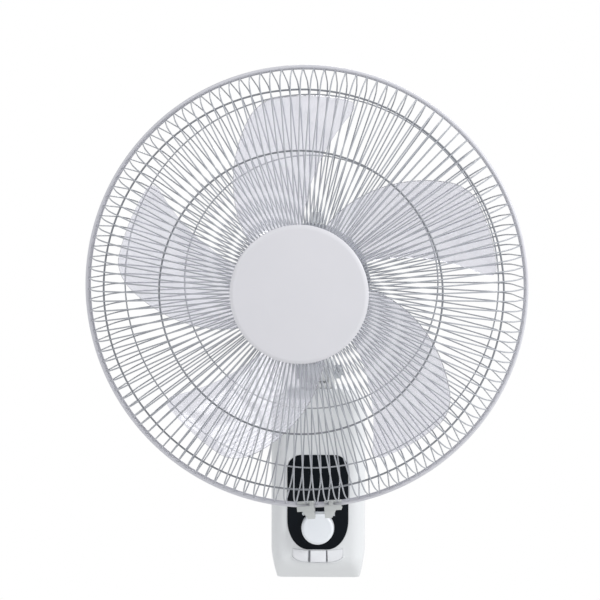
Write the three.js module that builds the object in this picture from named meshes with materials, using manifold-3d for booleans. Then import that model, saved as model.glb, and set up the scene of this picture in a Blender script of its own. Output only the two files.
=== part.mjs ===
// A wall mounted fan: a flat housing on the wall carries a tilting neck, the neck carries a
// swinging motor head, and the head carries a five-bladed impeller inside two wire guards.
// Millimetres. X runs to the viewer's right, Y into the wall and Z up. The origin is the
// middle of the wall plate's back face, on the wall.
import * as THREE from 'three';
import { mergeVertices } from 'three/addons/utils/BufferGeometryUtils.js';
import Module from 'manifold-3d';

const wasm = await Module();
wasm.setup();

// ---------- Clearances ----------
const seat = 0.3;                 // between two pieces that rest on each other
const keyGap = 0.35;              // round a push key in its slot
const runningGap = 0.3;           // round a shaft, pin or spindle in its bore
const airGap = 1.0;               // between rotor and stator

// ---------- How the head stands ----------
const axisFromWall = 106;         // tilt pivot and swing axis, in front of the wall
const pivotHeight = 122;          // tilt pivot, above the wall plate's middle
const neckRise = 104;             // fan axis, above the tilt pivot
const rimReach = 150;             // rim of the guards, ahead of the swing axis
const headTilt = 5.6;             // degrees, the fan looks down
const headSwing = -3.2;           // degrees, the fan looks to the viewer's left
const guardRoll = 3.1;            // degrees, the guards' clips sit right of the bottom
const swingLimit = 40;            // degrees each way from straight ahead
const crankLimit = 90;            // degrees of crank for a full half swing

// ---------- Wire guards: radius, and distance ahead of the rim plane ----------
const wireCount = 128;
const wireCorner = 1.3;           // wire middle to the corner of its three-sided section
const rimOuter = 222.2;
const rimHeight = 4.4;            // rim ring along the fan axis
const rimThick = 3.8;             // rim ring across
const rimNest = 0.8;              // the rear rim ring is smaller by this
const hubRingThick = 3;
const frontHubRadius = 62;
const frontHubAhead = 63.4;
const frontBendRadius = 139;
const frontBendAhead = 55.6;
const frontShoulderInset = 14.7;  // shoulder of the front wires, inside the rim
const frontShoulderAhead = 31.5;
const rearHubRadius = 58;
const rearHubBehind = 71;
const rearShoulderInset = 19.2;
const rearShoulderBehind = 62.5;
const frontOuterRingInset = 24.1; // ring inside the wires, from the rim
const frontInnerRing = 138.8;
const rearOuterRingInset = 28.9;
const rearInnerRing = 131.4;
const ringHalfWidth = 1.3;
const ringHeight = 2.2;
const outerRingSides = 36;
const innerRingSides = 28;

// ---------- Badge, its retainer, and the clamp at the rim ----------
const badgeRadius = 67.7;
const badgeThick = 3.6;
const badgeCrown = 1.4;
const badgeSkirtRadius = 56.5;
const badgeSkirtDepth = 6.5;
const retainerWidth = 6.2;
const retainerThick = 2;
const clampRoll = 0.62;           // degrees, off the wire that points down
const clampHalfGap = 5.1;         // half of the gap that the clamp screw spans
const clampLength = 17.4;
const clampFront = 8.3;           // ahead of the rim plane
const clampDepth = 10;
const clampInnerBar = 3;          // bar inside the rim
const clampInset = 2.2;           // from the rim ring to that bar
const clampOuterBar = 3.3;
const clampWeb = 4.4;             // passes in front of the rim, between two wires
const clampWebLeft = 5.2;
const clampWebRight = 10;
const clampLegTop = 7.6;
const clampLegFoot = 4.2;
const clampLegLength = 7.2;
const clampScrewRadius = 1.5;
const clampHeadRadius = 2.7;
const clampHeadThick = 2.2;

// ---------- Impeller ----------
const bladeCount = 5;
const bladeTipInset = 34.2;       // blade tip, inside the rim
const bladeRootThick = 2.6;
const bladeTipThick = 1.7;
const bladeFrontAhead = -3;       // trailing edge
const bladeRearAhead = -35;       // leading edge
const bladeCamber = 0.16;         // share of the blade's depth
const bladeTrailStart = -112.5;   // degrees, the trailing tip corner of the first blade
const bladeTrailSweep = 48;       // degrees between root and tip of the trailing edge
const bladeLeadSweep = 25.5;
const bladeTipSpan = 30;          // degrees of chord at the tip
const hubRadius = 38.5;
const hubWall = 2.5;
const hubFrontAhead = -8;
const hubDepth = 34;
const hubBossRadius = 11;
const hubBossDepth = 44;
const spinnerRadius = 15;
const spinnerDepth = 13;
const shaftRadius = 4;
const shaftFrontAhead = 1;
const drivePinRadius = 1.4;
const drivePinLength = 17;

// ---------- Motor ----------
const motorFaceBehind = 72.8;     // face that the rear guard is clamped against
const motorRadius = 56;
const coverWall = 2.2;
const guardThreadRadius = 22.5;
const guardThreadDepth = 14.3;
const guardNutRadius = 33;
const guardNutDepth = 9;
const guardPlateRadius = 62;
const guardPlateThick = 1.6;
const coverSplitBehind = 104;
const coverBackBehind = 194;
const coverBackRadius = 26;
const shieldRadius = 42;
const shieldFlange = 4;
const shieldCup = 16;
const bearingRadius = 5;
const bearingBossRadius = 8.5;
const bearingBossDepth = 9.5;
const statorRadius = 37.5;
const statorFrontBehind = 89;
const statorStack = 26;
const rotorRadius = 21.6;
const coilDepth = 7;
const coilInner = 24.5;
const coilOuter = 35.5;

// ---------- Gearbox, swing crank and link ----------
const gearboxFrontBehind = 130.4;
const gearboxDepth = 38;
const gearboxHalfWidth = 24;
const gearboxBelow = 38;
const gearboxAbove = 22;
const gearboxCorner = 6;
const swingBossRadius = 6.5;
const spindleRadius = 4.2;
const linkPinOffset = 13;         // fixed pin of the link, beside the swing axis
const crankAhead = 16;            // crank shaft, ahead of the swing axis
const crankBeside = 9;            // and beside it
const crankRadius = 10.4;
const crankThick = 2.6;
const crankPinRadius = 2;
const linkThick = 2.2;
const linkEnd = 3.8;
const linkFloat = 0.4;            // between the crank's pin and the link that it drives
const clutchStemRadius = 3.2;
const clutchKnobRadius = 8;
const clutchKnobHeight = 12;

// ---------- Neck, fork and tilt bolt ----------
const neckBossRadius = 17;
const neckBossTop = 50;
const tongueRadius = 12;
const tongueWidth = 23.8;
const forkCheek = 6.5;
const forkRadius = 15;
const forkBack = 36;              // fork foot behind the pivot
const forkFoot = 5.2;
const tiltBoltRadius = 4;
const tiltHeadRadius = 7.5;
const tiltHeadThick = 4;
const tiltNutThick = 7;

// ---------- Housing ----------
const housingHalfWidth = 51.2;
const housingBottom = -107.5;
const housingTop = 104;
const housingFront = 92;
const housingLean = 10;           // the top leans forward by this
const housingCorner = 17;
const housingWall = 2.5;
const splitDepth = 36;            // where front and rear housing meet
const bottomTaper = 35.5;         // height of the tapered bottom
const bottomNarrow = 6;
const bottomRecede = 26;
const recedeStart = 0.4;          // share of the taper above which the front stays upright
const shoulderHeight = 30;
const shoulderNarrow = 24;
const leanStart = 40;
const wallPlateThick = 2;
const wallPlateHalfWidth = 30;
const wallPlateHalfHeight = 52;
const wallPlateCorner = 6;
const wallScrewRadius = 2.75;
const wallScrewInset = 14;
const housingOffWall = 0.6;
const bossRadius = 4.6;
const housingScrewRadius = 2;
const housingScrewHead = 3.8;
const housingScrewHeadThick = 1.8;
const bushRadius = 6;
const bushFlange = 8;
const bushBore = 3.6;

// ---------- Control panel, knob and keys ----------
const panelHalfWidth = 33.3;
const panelTop = 31.7;
const panelBottom = -69.8;
const panelTopCorner = 15.5;
const panelBottomCorner = 21;
const panelThick = 2.4;
const panelProud = 0.9;
const knobHeight = -48;
const knobRadius = 18.3;
const knobThick = 13;
const knobShaftRadius = 3;
const timerHalf = 19;
const timerDepth = 24;
const keyHalfSpan = 27.8;
const keyTop = -71.6;
const keyBottom = -84.1;
const keyEndDrop = 5;             // side edge of an outer key
const keyTopRise = 2;             // towards the row's ends
const keyFlatShare = 0.3;         // middle share of the row that is straight below
const keySpacer = 1.9;
const keyProud = 2;
const keyDepth = 11;
const keyTravel = 3.5;
const keyStem = 6;
const lugInner = 13;
const lugOuter = 18;

// ---------- Finishes ----------
const whitePlastic = { color: 0xeef0f1, roughness: 0.42, metalness: 0 };
const greyPlastic = { color: 0xd3d5da, roughness: 0.38, metalness: 0 };
const warmPlastic = { color: 0xc9cbc8, roughness: 0.5, metalness: 0 };
const blackPanel = { color: 0x171c24, roughness: 0.18, metalness: 0 };
const clearResin = { color: 0xd4dbe8, roughness: 0.15, metalness: 0 };
const paintedWire = { color: 0xb4b9c4, roughness: 0.35, metalness: 0.2 };
const steel = { color: 0xaeb3b8, roughness: 0.35, metalness: 0.9 };
const castAlloy = { color: 0x9fa4a8, roughness: 0.55, metalness: 0.8 };
const laminated = { color: 0x5b5f66, roughness: 0.6, metalness: 0.7 };
const copper = { color: 0xa5623a, roughness: 0.45, metalness: 0.7 };
const darkPlastic = { color: 0x2b2e33, roughness: 0.5, metalness: 0 };
const blackRubber = { color: 0x1d1e20, roughness: 0.8, metalness: 0 };

// ---------- Solids ----------

// A closed solid: shared corners, no slivers, faces pointing out.
function solid(geometry) {
  geometry.deleteAttribute('normal');
  geometry.deleteAttribute('uv');
  const merged = mergeVertices(geometry);
  const place = merged.attributes.position;
  const corner = [0, 1, 2].map(() => new THREE.Vector3());
  const faces = [];
  let volume = 0;
  for (let i = 0; i < merged.index.count; i += 3) {
    const face = [0, 1, 2].map((k) => merged.index.getX(i + k));
    if (new Set(face).size < 3) continue;
    face.forEach((vertex, k) => corner[k].fromBufferAttribute(place, vertex));
    volume += corner[0].dot(corner[1].cross(corner[2]));
    faces.push(face);
  }
  merged.setIndex(faces.flatMap((face) => (volume < 0 ? [face[0], face[2], face[1]] : face)));
  return merged;
}

function toManifold(geometry) {
  return new wasm.Manifold(new wasm.Mesh({
    numProp: 3,
    vertProperties: new Float32Array(geometry.attributes.position.array),
    triVerts: new Uint32Array(geometry.index.array),
  }));
}

function fromManifold(body) {
  const mesh = body.getMesh();
  const geometry = new THREE.BufferGeometry();
  geometry.setAttribute('position', new THREE.BufferAttribute(new Float32Array(mesh.vertProperties), 3));
  geometry.setIndex([...mesh.triVerts]);
  return geometry;
}

function cut(base, ...tools) {
  return fromManifold(tools.reduce((body, tool) => body.subtract(toManifold(tool)), toManifold(base)));
}

function join(base, ...others) {
  return fromManifold(others.reduce((body, other) => body.add(toManifold(other)), toManifold(base)));
}

function meet(base, other) {
  return fromManifold(toManifold(base).intersect(toManifold(other)));
}

// Turned about the Y axis. A profile of [radius, y] closes on itself unless it ends on the axis.
function turned(profile, sides) {
  const points = profile.map(([radius, y]) => new THREE.Vector2(radius, y));
  const onAxis = profile[0][0] === 0 && profile.at(-1)[0] === 0;
  if (!onAxis) points.push(points[0].clone());
  return solid(new THREE.LatheGeometry(points, sides));
}

const turnedUp = (profile, sides) => turned(profile, sides).rotateX(Math.PI / 2);
const turnedAcross = (profile, sides) => turned(profile, sides).rotateZ(-Math.PI / 2);

// Plain round bars along the three axes, from one end to the other.
function barProfile(radius, from, to) {
  return [[0, from], [radius, from], [radius, to], [0, to]];
}
const barY = (radius, from, to, sides = 16) => turned(barProfile(radius, from, to), sides);
const barZ = (radius, from, to, sides = 16) => turnedUp(barProfile(radius, from, to), sides);
const barX = (radius, from, to, sides = 16) => turnedAcross(barProfile(radius, from, to), sides);

// Radius at the corners of a bore whose flats stand clear of a shaft's radius.
const boreCorner = (radius, sides) => radius / Math.cos(Math.PI / sides);

function tubeY(outer, bore, from, to, sides = 16) {
  const inner = boreCorner(bore, sides);
  return turned([[inner, from], [outer, from], [outer, to], [inner, to]], sides);
}

function block(x, y, z) {
  const size = [x, y, z].map(([low, high]) => high - low);
  const middle = [x, y, z].map(([low, high]) => (low + high) / 2);
  return solid(new THREE.BoxGeometry(...size).translate(...middle));
}

// Outlines drawn in the front view (x, z), the plan (x, y) and the side view (y, z).
function extruded(shape, depth, steps = 4) {
  return new THREE.ExtrudeGeometry(shape, { depth, steps: 1, bevelEnabled: false, curveSegments: steps });
}
const frontPlate = (shape, back, depth, steps) =>
  solid(extruded(shape, depth, steps).rotateX(Math.PI / 2).translate(0, back, 0));
const planPlate = (shape, bottom, depth, steps) =>
  solid(extruded(shape, depth, steps).translate(0, 0, bottom));
const sideTurn = new THREE.Matrix4().set(0, 0, 1, 0, 1, 0, 0, 0, 0, 1, 0, 0, 0, 0, 0, 1);
const sidePlate = (shape, left, depth, steps) =>
  solid(extruded(shape, depth, steps).applyMatrix4(sideTurn).translate(left, 0, 0));

function polygon(points) {
  return new THREE.Shape(points.map(([a, b]) => new THREE.Vector2(a, b)));
}

// A rectangle with its own radius at the lower and the upper corners.
function roundedRect(halfWidth, low, high, lowCorner, highCorner, steps = 3) {
  const corners = [
    [halfWidth - lowCorner, low + lowCorner, lowCorner],
    [halfWidth - highCorner, high - highCorner, highCorner],
    [highCorner - halfWidth, high - highCorner, highCorner],
    [lowCorner - halfWidth, low + lowCorner, lowCorner],
  ];
  return polygon(corners.flatMap(([x, z, radius], index) => {
    const turns = Array.from({ length: steps + 1 }, (_, step) => (index - 1 + step / steps) * Math.PI / 2);
    return turns.map((turn) => [x + radius * Math.cos(turn), z + radius * Math.sin(turn)]);
  }));
}

// A closed skin through rings of equal count, with flat ends.
function loft(rings) {
  const count = rings[0].length;
  const faces = [];
  for (let ring = 0; ring + 1 < rings.length; ring += 1) {
    for (let i = 0; i < count; i += 1) {
      const next = (i + 1) % count;
      const low = ring * count;
      const high = low + count;
      faces.push(low + i, low + next, high + next, low + i, high + next, high + i);
    }
  }
  const top = (rings.length - 1) * count;
  for (let i = 1; i + 1 < count; i += 1) {
    faces.push(0, i + 1, i, top, top + i, top + i + 1);
  }
  const geometry = new THREE.BufferGeometry().setFromPoints(rings.flat());
  geometry.setIndex(faces);
  return solid(geometry);
}

function named(name, geometry, look) {
  const mesh = new THREE.Mesh(geometry, new THREE.MeshStandardMaterial(look));
  mesh.name = name;
  return mesh;
}

const degrees = (angle) => THREE.MathUtils.degToRad(angle);
const ahead = (distance) => -(rimReach + distance);   // y on the head, from the rim plane
const behind = (distance) => ahead(-distance);

// ---------- Wire guards ----------

// Middle line of a wire as [radius, distance ahead]; side is 1 for the front, -1 for the rear.
const rimInnerFront = rimOuter - rimThick;
const rimInnerRear = rimOuter - rimNest - rimThick;
const rimMiddle = seat / 2 + rimHeight / 2;
const bladeTipRadius = rimOuter - bladeTipInset;
const frontWire = [
  [frontHubRadius, frontHubAhead],
  [frontBendRadius, frontBendAhead],
  [rimOuter - frontShoulderInset, frontShoulderAhead],
  [rimInnerFront, rimMiddle],
];
const rearWire = [
  [rearHubRadius, -rearHubBehind],
  [rimOuter - rearShoulderInset, -rearShoulderBehind],
  [rimInnerRear, -rimMiddle],
];

// Direction that points out of the cage, square to the wire at a point of its middle line.
function outward(line, index, side) {
  const before = line[Math.max(index - 1, 0)];
  const after = line[Math.min(index + 1, line.length - 1)];
  const along = new THREE.Vector2(after[0] - before[0], after[1] - before[1]).normalize();
  return new THREE.Vector2(-along.y, along.x).multiplyScalar(side);
}

// Every wire is three-sided: one edge outside the cage, two inside. At both ends the wires
// share their corners with a three-sided ring, so wires and end rings are one piece.
function wireGuard(line, side) {
  const last = line.length - 1;
  const perWire = 3 * line.length + 2;
  const halfWidth = wireCorner * Math.sin(Math.PI / 3);
  const inset = wireCorner * Math.cos(Math.PI / 3);
  const points = [];
  for (let wire = 0; wire < wireCount; wire += 1) {
    const angle = (wire / wireCount) * 2 * Math.PI - Math.PI / 2;
    const put = (radius, distance, across) => {
      const x = radius * Math.cos(angle) - across * Math.sin(angle);
      const z = radius * Math.sin(angle) + across * Math.cos(angle);
      points.push(new THREE.Vector3(x, ahead(distance), z));
    };
    line.forEach(([radius, distance], index) => {
      if (index === last) {
        const low = distance - (side * rimHeight) / 2;
        const high = distance + (side * rimHeight) / 2;
        put(radius, low, -halfWidth);
        put(radius, low, halfWidth);
        put(radius, high, 0);
        return;
      }
      const out = outward(line, index, side);
      put(radius - out.x * inset, distance - out.y * inset, -halfWidth);
      put(radius - out.x * inset, distance - out.y * inset, halfWidth);
      put(radius + out.x * wireCorner, distance + out.y * wireCorner, 0);
    });
    put(line[0][0] - hubRingThick, line[0][1], 0);
    put(line[last][0] + rimThick, line[last][1], 0);
  }
  const faces = [];
  const quad = (a, b, c, d) => faces.push(a, b, c, a, c, d);
  for (let wire = 0; wire < wireCount; wire += 1) {
    const here = wire * perWire;
    const next = ((wire + 1) % wireCount) * perWire;
    for (let index = 0; index < last; index += 1) {
      const [l, r, f] = [0, 1, 2].map((k) => here + 3 * index + k);
      quad(l, r, r + 3, l + 3);
      quad(r, f, f + 3, r + 3);
      quad(f, l, l + 3, f + 3);
    }
    const [l, r, f, o] = [0, 1, 2, perWire - 2].map((k) => here + k);
    const [nl, nf, no] = [0, 2, perWire - 2].map((k) => next + k);
    faces.push(r, l, o);
    quad(r, o, no, nl);
    quad(o, f, nf, no);
    quad(f, r, nl, nf);
    const [el, er, ef, eo] = [3 * last, 3 * last + 1, 3 * last + 2, perWire - 1].map((k) => here + k);
    const [enl, enf, eno] = [3 * last, 3 * last + 2, perWire - 1].map((k) => next + k);
    faces.push(el, er, eo);
    quad(eo, er, enl, eno);
    quad(ef, eo, eno, enf);
    quad(er, ef, enf, enl);
  }
  const geometry = new THREE.BufferGeometry().setFromPoints(points);
  geometry.setIndex(faces);
  return solid(geometry);
}

// A round wire ring that lies against the inside of the wires at one radius.
function guardRing(line, side, radius, sides) {
  const index = line.findIndex(([reach]) => reach > radius) - 1;
  const [from, to] = [line[index], line[index + 1]];
  const along = new THREE.Vector2(to[0] - from[0], to[1] - from[1]);
  const distance = from[1] + ((radius - from[0]) / along.x) * along.y;
  along.normalize();
  const inward = new THREE.Vector2(along.y, -along.x).multiplyScalar(side);
  const near = wireCorner * Math.cos(Math.PI / 3) + seat;
  const corner = (slide, depth) => [
    radius + along.x * slide + inward.x * depth,
    ahead(distance + along.y * slide + inward.y * depth),
  ];
  return turned([
    corner(-ringHalfWidth, near),
    corner(ringHalfWidth, near),
    corner(0, near + ringHeight),
  ], sides);
}

function guards() {
  const group = new THREE.Group();
  group.rotation.y = -degrees(guardRoll);
  group.add(
    named('front_guard', wireGuard(frontWire, 1), paintedWire),
    named('front_guard_outer_ring', guardRing(frontWire, 1, rimOuter - frontOuterRingInset, outerRingSides), paintedWire),
    named('front_guard_inner_ring', guardRing(frontWire, 1, frontInnerRing, innerRingSides), paintedWire),
    named('rear_guard', wireGuard(rearWire, -1), paintedWire),
    named('rear_guard_outer_ring', guardRing(rearWire, -1, rimOuter - rearOuterRingInset, outerRingSides), paintedWire),
    named('rear_guard_inner_ring', guardRing(rearWire, -1, rearInnerRing, innerRingSides), paintedWire),
    named('guard_badge', badge(), greyPlastic),
    named('badge_retainer', badgeRetainer(), darkPlastic),
    named('rear_guard_plate', guardPlate(), paintedWire),
  );
  const clamp = new THREE.Group();
  clamp.rotation.y = -degrees(clampRoll);
  clamp.add(
    named('guard_clamp_left', guardClamp(-1), warmPlastic),
    named('guard_clamp_right', guardClamp(1), warmPlastic),
    named('clamp_screw', clampScrew(), steel),
    named('clamp_nut', clampNut(), steel),
  );
  group.add(clamp);
  return group;
}

const badgeBack = frontHubAhead + wireCorner + seat;

// A crowned disc with a rolled edge and a short skirt that centres it in the guard's hub ring.
function badge() {
  const front = badgeBack + badgeThick;
  const edge = 1.2;
  return turned([
    [0, ahead(badgeBack)],
    [badgeSkirtRadius - 2, ahead(badgeBack)],
    [badgeSkirtRadius - 2, ahead(badgeBack - badgeSkirtDepth)],
    [badgeSkirtRadius, ahead(badgeBack - badgeSkirtDepth)],
    [badgeSkirtRadius, ahead(badgeBack)],
    [badgeRadius, ahead(badgeBack)],
    [badgeRadius, ahead(front - edge)],
    [badgeRadius - edge, ahead(front)],
    [0, ahead(front + badgeCrown)],
  ], 24);
}

// The ring that grips the guard's hub ring from inside the cage.
function badgeRetainer() {
  const front = frontHubAhead - wireCorner - seat;
  const bore = badgeSkirtRadius + seat;
  return tubeY(bore + retainerWidth, bore, ahead(front), ahead(front - retainerThick), 16);
}

// The disc welded inside the rear guard's wires, which the guard nut presses on the motor.
function guardPlate() {
  const back = rearHubBehind - wireCorner * Math.cos(Math.PI / 3) - seat;
  return tubeY(guardPlateRadius, guardThreadRadius + 1, behind(back), behind(back - guardPlateThick), 16);
}

const clampOuter = rimOuter + seat;
const clampLegStart = clampOuter + clampOuterBar;
const clampScrewY = ahead(clampFront - clampDepth / 2);
const clampScrewDrop = clampLegStart + seat + clampHeadRadius;

// Half of the rim clamp: a bar inside the rim rings, a bar outside, a web between two wires
// that joins them in front of the rings, and a tapered leg for the screw.
function guardClamp(side) {
  const inner = clampHalfGap;
  const whole = [inner, inner + clampLength];
  const start = side < 0 ? clampWebLeft : clampWebRight;
  const web = [start, start + clampWeb];
  const front = ahead(clampFront);
  const back = front + clampDepth;
  const low = -(rimInnerRear - clampInset);
  const leg = polygon([
    [inner, -clampLegStart + 0.5],
    [inner + clampLegTop, -clampLegStart + 0.5],
    [inner + clampLegFoot, -(clampLegStart + clampLegLength)],
    [inner, -(clampLegStart + clampLegLength)],
  ]);
  const body = join(
    block(whole, [front + clampFront - rimHeight, back], [low, low + clampInnerBar]),
    block(web, [front, back], [low, low + clampInnerBar]),
    block(web, [front, front + clampFront - rimHeight - 2 * seat], [-clampLegStart, low + 1]),
    block(whole, [front, back], [-clampLegStart, -clampOuter]),
    frontPlate(leg, back, clampDepth),
  );
  const bore = barX(clampScrewRadius + runningGap, 0, inner + clampLength + 2, 8)
    .translate(0, clampScrewY, -clampScrewDrop);
  const half = cut(body, bore);
  return side < 0 ? mirrored(half) : half;
}

function mirrored(geometry) {
  return solid(geometry.scale(-1, 1, 1));
}

// Half width of the clamp's leg at a distance from the fan axis.
function clampLegAt(drop) {
  const share = (drop - clampLegStart + 0.5) / (clampLegLength + 0.5);
  return clampHalfGap + THREE.MathUtils.lerp(clampLegTop, clampLegFoot, share);
}

function clampScrew() {
  const start = -clampLegAt(clampScrewDrop - clampHeadRadius) - seat;
  const end = -start + clampHeadThick + 1;
  return turnedAcross([
    [0, start - clampHeadThick],
    [clampHeadRadius, start - clampHeadThick],
    [clampHeadRadius, start],
    [clampScrewRadius, start],
    [clampScrewRadius, end],
    [0, end],
  ], 10).translate(0, clampScrewY, -clampScrewDrop);
}

function clampNut() {
  const start = clampLegAt(clampScrewDrop - clampHeadRadius) + seat;
  const bore = boreCorner(clampScrewRadius + runningGap, 6);
  return turnedAcross([
    [bore, start],
    [clampHeadRadius + 0.1, start],
    [clampHeadRadius + 0.1, start + clampHeadThick],
    [bore, start + clampHeadThick],
  ], 6).translate(0, clampScrewY, -clampScrewDrop);
}

// ---------- Impeller ----------

// Angles in degrees, seen from the front and growing anticlockwise; the fan runs clockwise.
function bladeEdges(radius) {
  const share = (radius - hubRadius) / (bladeTipRadius - hubRadius);
  const rootward = 1 - share;
  const trail = bladeTrailSweep * rootward ** 0.95;
  const lead = -bladeTipSpan + bladeLeadSweep * rootward;
  return { trail, lead, share };
}

// One blade: a twisted, cambered sheet that narrows to rounded corners at its tip.
function blade() {
  const root = hubRadius - hubWall / 2;
  const stations = [0, 0.14, 0.34, 0.56, 0.76, 0.91, 0.97, 1];
  const chordSteps = 4;
  const tipShrink = [0, 0, 0, 0, 0, 0.02, 0.08, 0.28];
  const rings = stations.map((reach, station) => {
    const radius = THREE.MathUtils.lerp(root, bladeTipRadius, reach);
    const { trail, lead, share } = bladeEdges(radius);
    const thick = THREE.MathUtils.lerp(bladeRootThick, bladeTipThick, share);
    const shrink = tipShrink[station];
    const middle = (trail + lead) / 2;
    const half = ((trail - lead) / 2) * (1 - shrink);
    const pitch = Math.atan2(bladeFrontAhead - bladeRearAhead, degrees(trail - lead) * radius);
    const upper = [];
    const lower = [];
    for (let step = 0; step <= chordSteps; step += 1) {
      const chord = step / chordSteps;
      const spread = (chord * 2 - 1) * (1 - shrink) / 2 + 0.5;
      const angle = degrees(middle + half * (chord * 2 - 1));
      const camber = bladeCamber * Math.sin(Math.PI * spread);
      const depth = THREE.MathUtils.lerp(bladeRearAhead, bladeFrontAhead, spread - camber * (1 - spread));
      const edge = Math.sin(Math.PI * THREE.MathUtils.clamp(chord, 0.14, 0.86));
      const half2 = (thick / 2) * edge;
      const turn = (half2 * Math.sin(pitch)) / radius;
      const place = (sign) => new THREE.Vector3(
        radius * Math.cos(angle - sign * turn),
        ahead(depth + sign * half2 * Math.cos(pitch)),
        radius * Math.sin(angle - sign * turn),
      );
      upper.push(place(1));
      lower.push(place(-1));
    }
    return [...upper, ...lower.reverse()];
  });
  return loft(rings);
}

function impeller() {
  const front = ahead(hubFrontAhead);
  const edge = 3;
  const cup = turned([
    [shaftRadius + runningGap, front],
    [hubRadius - edge, front],
    [hubRadius, front + edge],
    [hubRadius, front + hubDepth],
    [hubRadius - hubWall, front + hubDepth],
    [hubRadius - hubWall, front + edge + 0.5],
    [hubBossRadius, front + edge + 0.5],
    [hubBossRadius, front + hubBossDepth],
    [shaftRadius + runningGap, front + hubBossDepth],
  ], 20);
  const blades = [];
  for (let index = 0; index < bladeCount; index += 1) {
    blades.push(blade().rotateY(-degrees(bladeTrailStart + (360 / bladeCount) * index)));
  }
  return join(cup, ...blades);
}

function spinnerNut() {
  const back = ahead(hubFrontAhead + seat);
  const bore = shaftRadius + runningGap;
  const boreEnd = ahead(shaftFrontAhead + 1);
  return turned([
    [bore, back],
    [spinnerRadius, back],
    [spinnerRadius, back - spinnerDepth * 0.45],
    [spinnerRadius * 0.7, back - spinnerDepth * 0.85],
    [0, back - spinnerDepth],
    [0, boreEnd],
    [bore, boreEnd],
  ].reverse(), 10);
}

const drivePinY = ahead(hubFrontAhead) + hubBossDepth + seat + drivePinRadius;

function rotorShaft() {
  const shaft = barY(shaftRadius, ahead(shaftFrontAhead), behind(gearboxFrontBehind - 1), 12);
  const bore = barX(drivePinRadius + runningGap, -9, 9, 8).translate(0, drivePinY, 0);
  return cut(shaft, bore);
}

function spinningParts() {
  const rotorFront = behind(statorFrontBehind - 1);
  const rotorBack = behind(statorFrontBehind + statorStack + 1);
  const group = new THREE.Group();
  group.add(
    named('impeller', impeller(), clearResin),
    named('blade_nut', spinnerNut(), greyPlastic),
    named('rotor_shaft', rotorShaft(), steel),
    named('drive_pin', barX(drivePinRadius, -drivePinLength / 2, drivePinLength / 2, 8)
      .translate(0, drivePinY, 0), steel),
    named('rotor_core', tubeY(rotorRadius, shaftRadius + runningGap, rotorFront, rotorBack, 12), laminated),
  );
  return group;
}

// ---------- Motor ----------

// The front cover holds the thread for the guard nut on a collar round the shaft.
function motorFrontCover() {
  const face = behind(motorFaceBehind);
  const collar = bearingBossRadius + runningGap;
  const rim = behind(coverSplitBehind);
  return turned([
    [collar, face - guardThreadDepth],
    [guardThreadRadius, face - guardThreadDepth],
    [guardThreadRadius, face],
    [motorRadius - 9, face],
    [motorRadius - 2, face + 7],
    [motorRadius, rim - 10],
    [motorRadius, rim],
    [motorRadius - coverWall, rim],
    [motorRadius - coverWall - 2, face + 9],
    [motorRadius - 11, face + coverWall + 0.8],
    [collar, face + coverWall + 0.8],
  ], 18);
}

// The rear cover is a dome, open below for the neck and pierced for the clutch and its screw.
function motorRearCover() {
  const rim = behind(coverSplitBehind) + seat;
  const back = behind(coverBackBehind);
  const screw = housingScrewRadius + runningGap;
  const at = (share) => THREE.MathUtils.lerp(rim, back, share);
  const skin = (shrink) => [
    [motorRadius - shrink, at(0.4)],
    [motorRadius * 0.93 - shrink, at(0.69)],
    [motorRadius * 0.75 - shrink, at(0.885) - shrink],
    [coverBackRadius - shrink, at(0.97) - shrink],
    [screw, back - shrink],
  ];
  const shell = turned([
    [motorRadius - coverWall, rim],
    [motorRadius, rim],
    ...skin(0),
    ...skin(coverWall).reverse(),
  ], 18);
  const neckOpening = barZ(boreCorner(linkReach + airGap, 12), -motorRadius - 5, -gearboxBelow - 2, 12);
  const clutchHole = barZ(clutchStemRadius + 0.8, gearboxAbove + 10, motorRadius + 5, 8);
  return cut(shell, neckOpening, clutchHole);
}

// A cup shaped end shield with a bearing boss; the front and the rear one face each other.
function endShield(face, toward, bossDepth) {
  const y = (distance) => face + toward * distance;
  const sides = 12;
  const bore = boreCorner(bearingRadius + runningGap, sides);
  const cup = boreCorner(statorRadius + seat, sides);
  return turned([
    [bore, y(-bossDepth)],
    [bearingBossRadius, y(-bossDepth)],
    [bearingBossRadius, y(0)],
    [shieldRadius, y(0)],
    [shieldRadius, y(shieldCup)],
    [cup, y(shieldCup)],
    [cup, y(shieldFlange)],
    [bore, y(shieldFlange)],
  ], sides);
}

function bearing(from, to) {
  return tubeY(bearingRadius, shaftRadius + runningGap, from, to, 8);
}

function coil(from, to) {
  return turned([
    [coilInner, from],
    [coilOuter, from],
    [coilOuter + 1, (from + to) / 2],
    [coilOuter, to],
    [coilInner, to],
  ], 12);
}

function motor() {
  const group = new THREE.Group();
  const frontFace = behind(motorFaceBehind) + coverWall + 0.8 + seat;
  const statorFront = behind(statorFrontBehind);
  const statorBack = statorFront + statorStack;
  const rearFace = behind(gearboxFrontBehind) - seat - 3;
  group.add(
    named('motor_front_cover', motorFrontCover(), whitePlastic),
    named('motor_rear_cover', motorRearCover(), whitePlastic),
    named('front_end_shield', endShield(frontFace, 1, bearingBossDepth), castAlloy),
    named('rear_end_shield', endShield(rearFace, -1, 3), castAlloy),
    named('front_bearing', bearing(frontFace - bearingBossDepth, frontFace + shieldFlange), steel),
    named('rear_bearing', bearing(rearFace - shieldFlange, rearFace + 3), steel),
    named('stator_core', tubeY(statorRadius, rotorRadius + airGap, statorFront, statorBack, 14), laminated),
    named('front_winding', coil(statorFront - seat - coilDepth, statorFront - seat), copper),
    named('rear_winding', coil(statorBack + seat, statorBack + seat + coilDepth), copper),
    named('guard_nut', guardNut(), greyPlastic),
    named('cover_screw', coverScrew(), steel),
  );
  return group;
}

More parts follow.
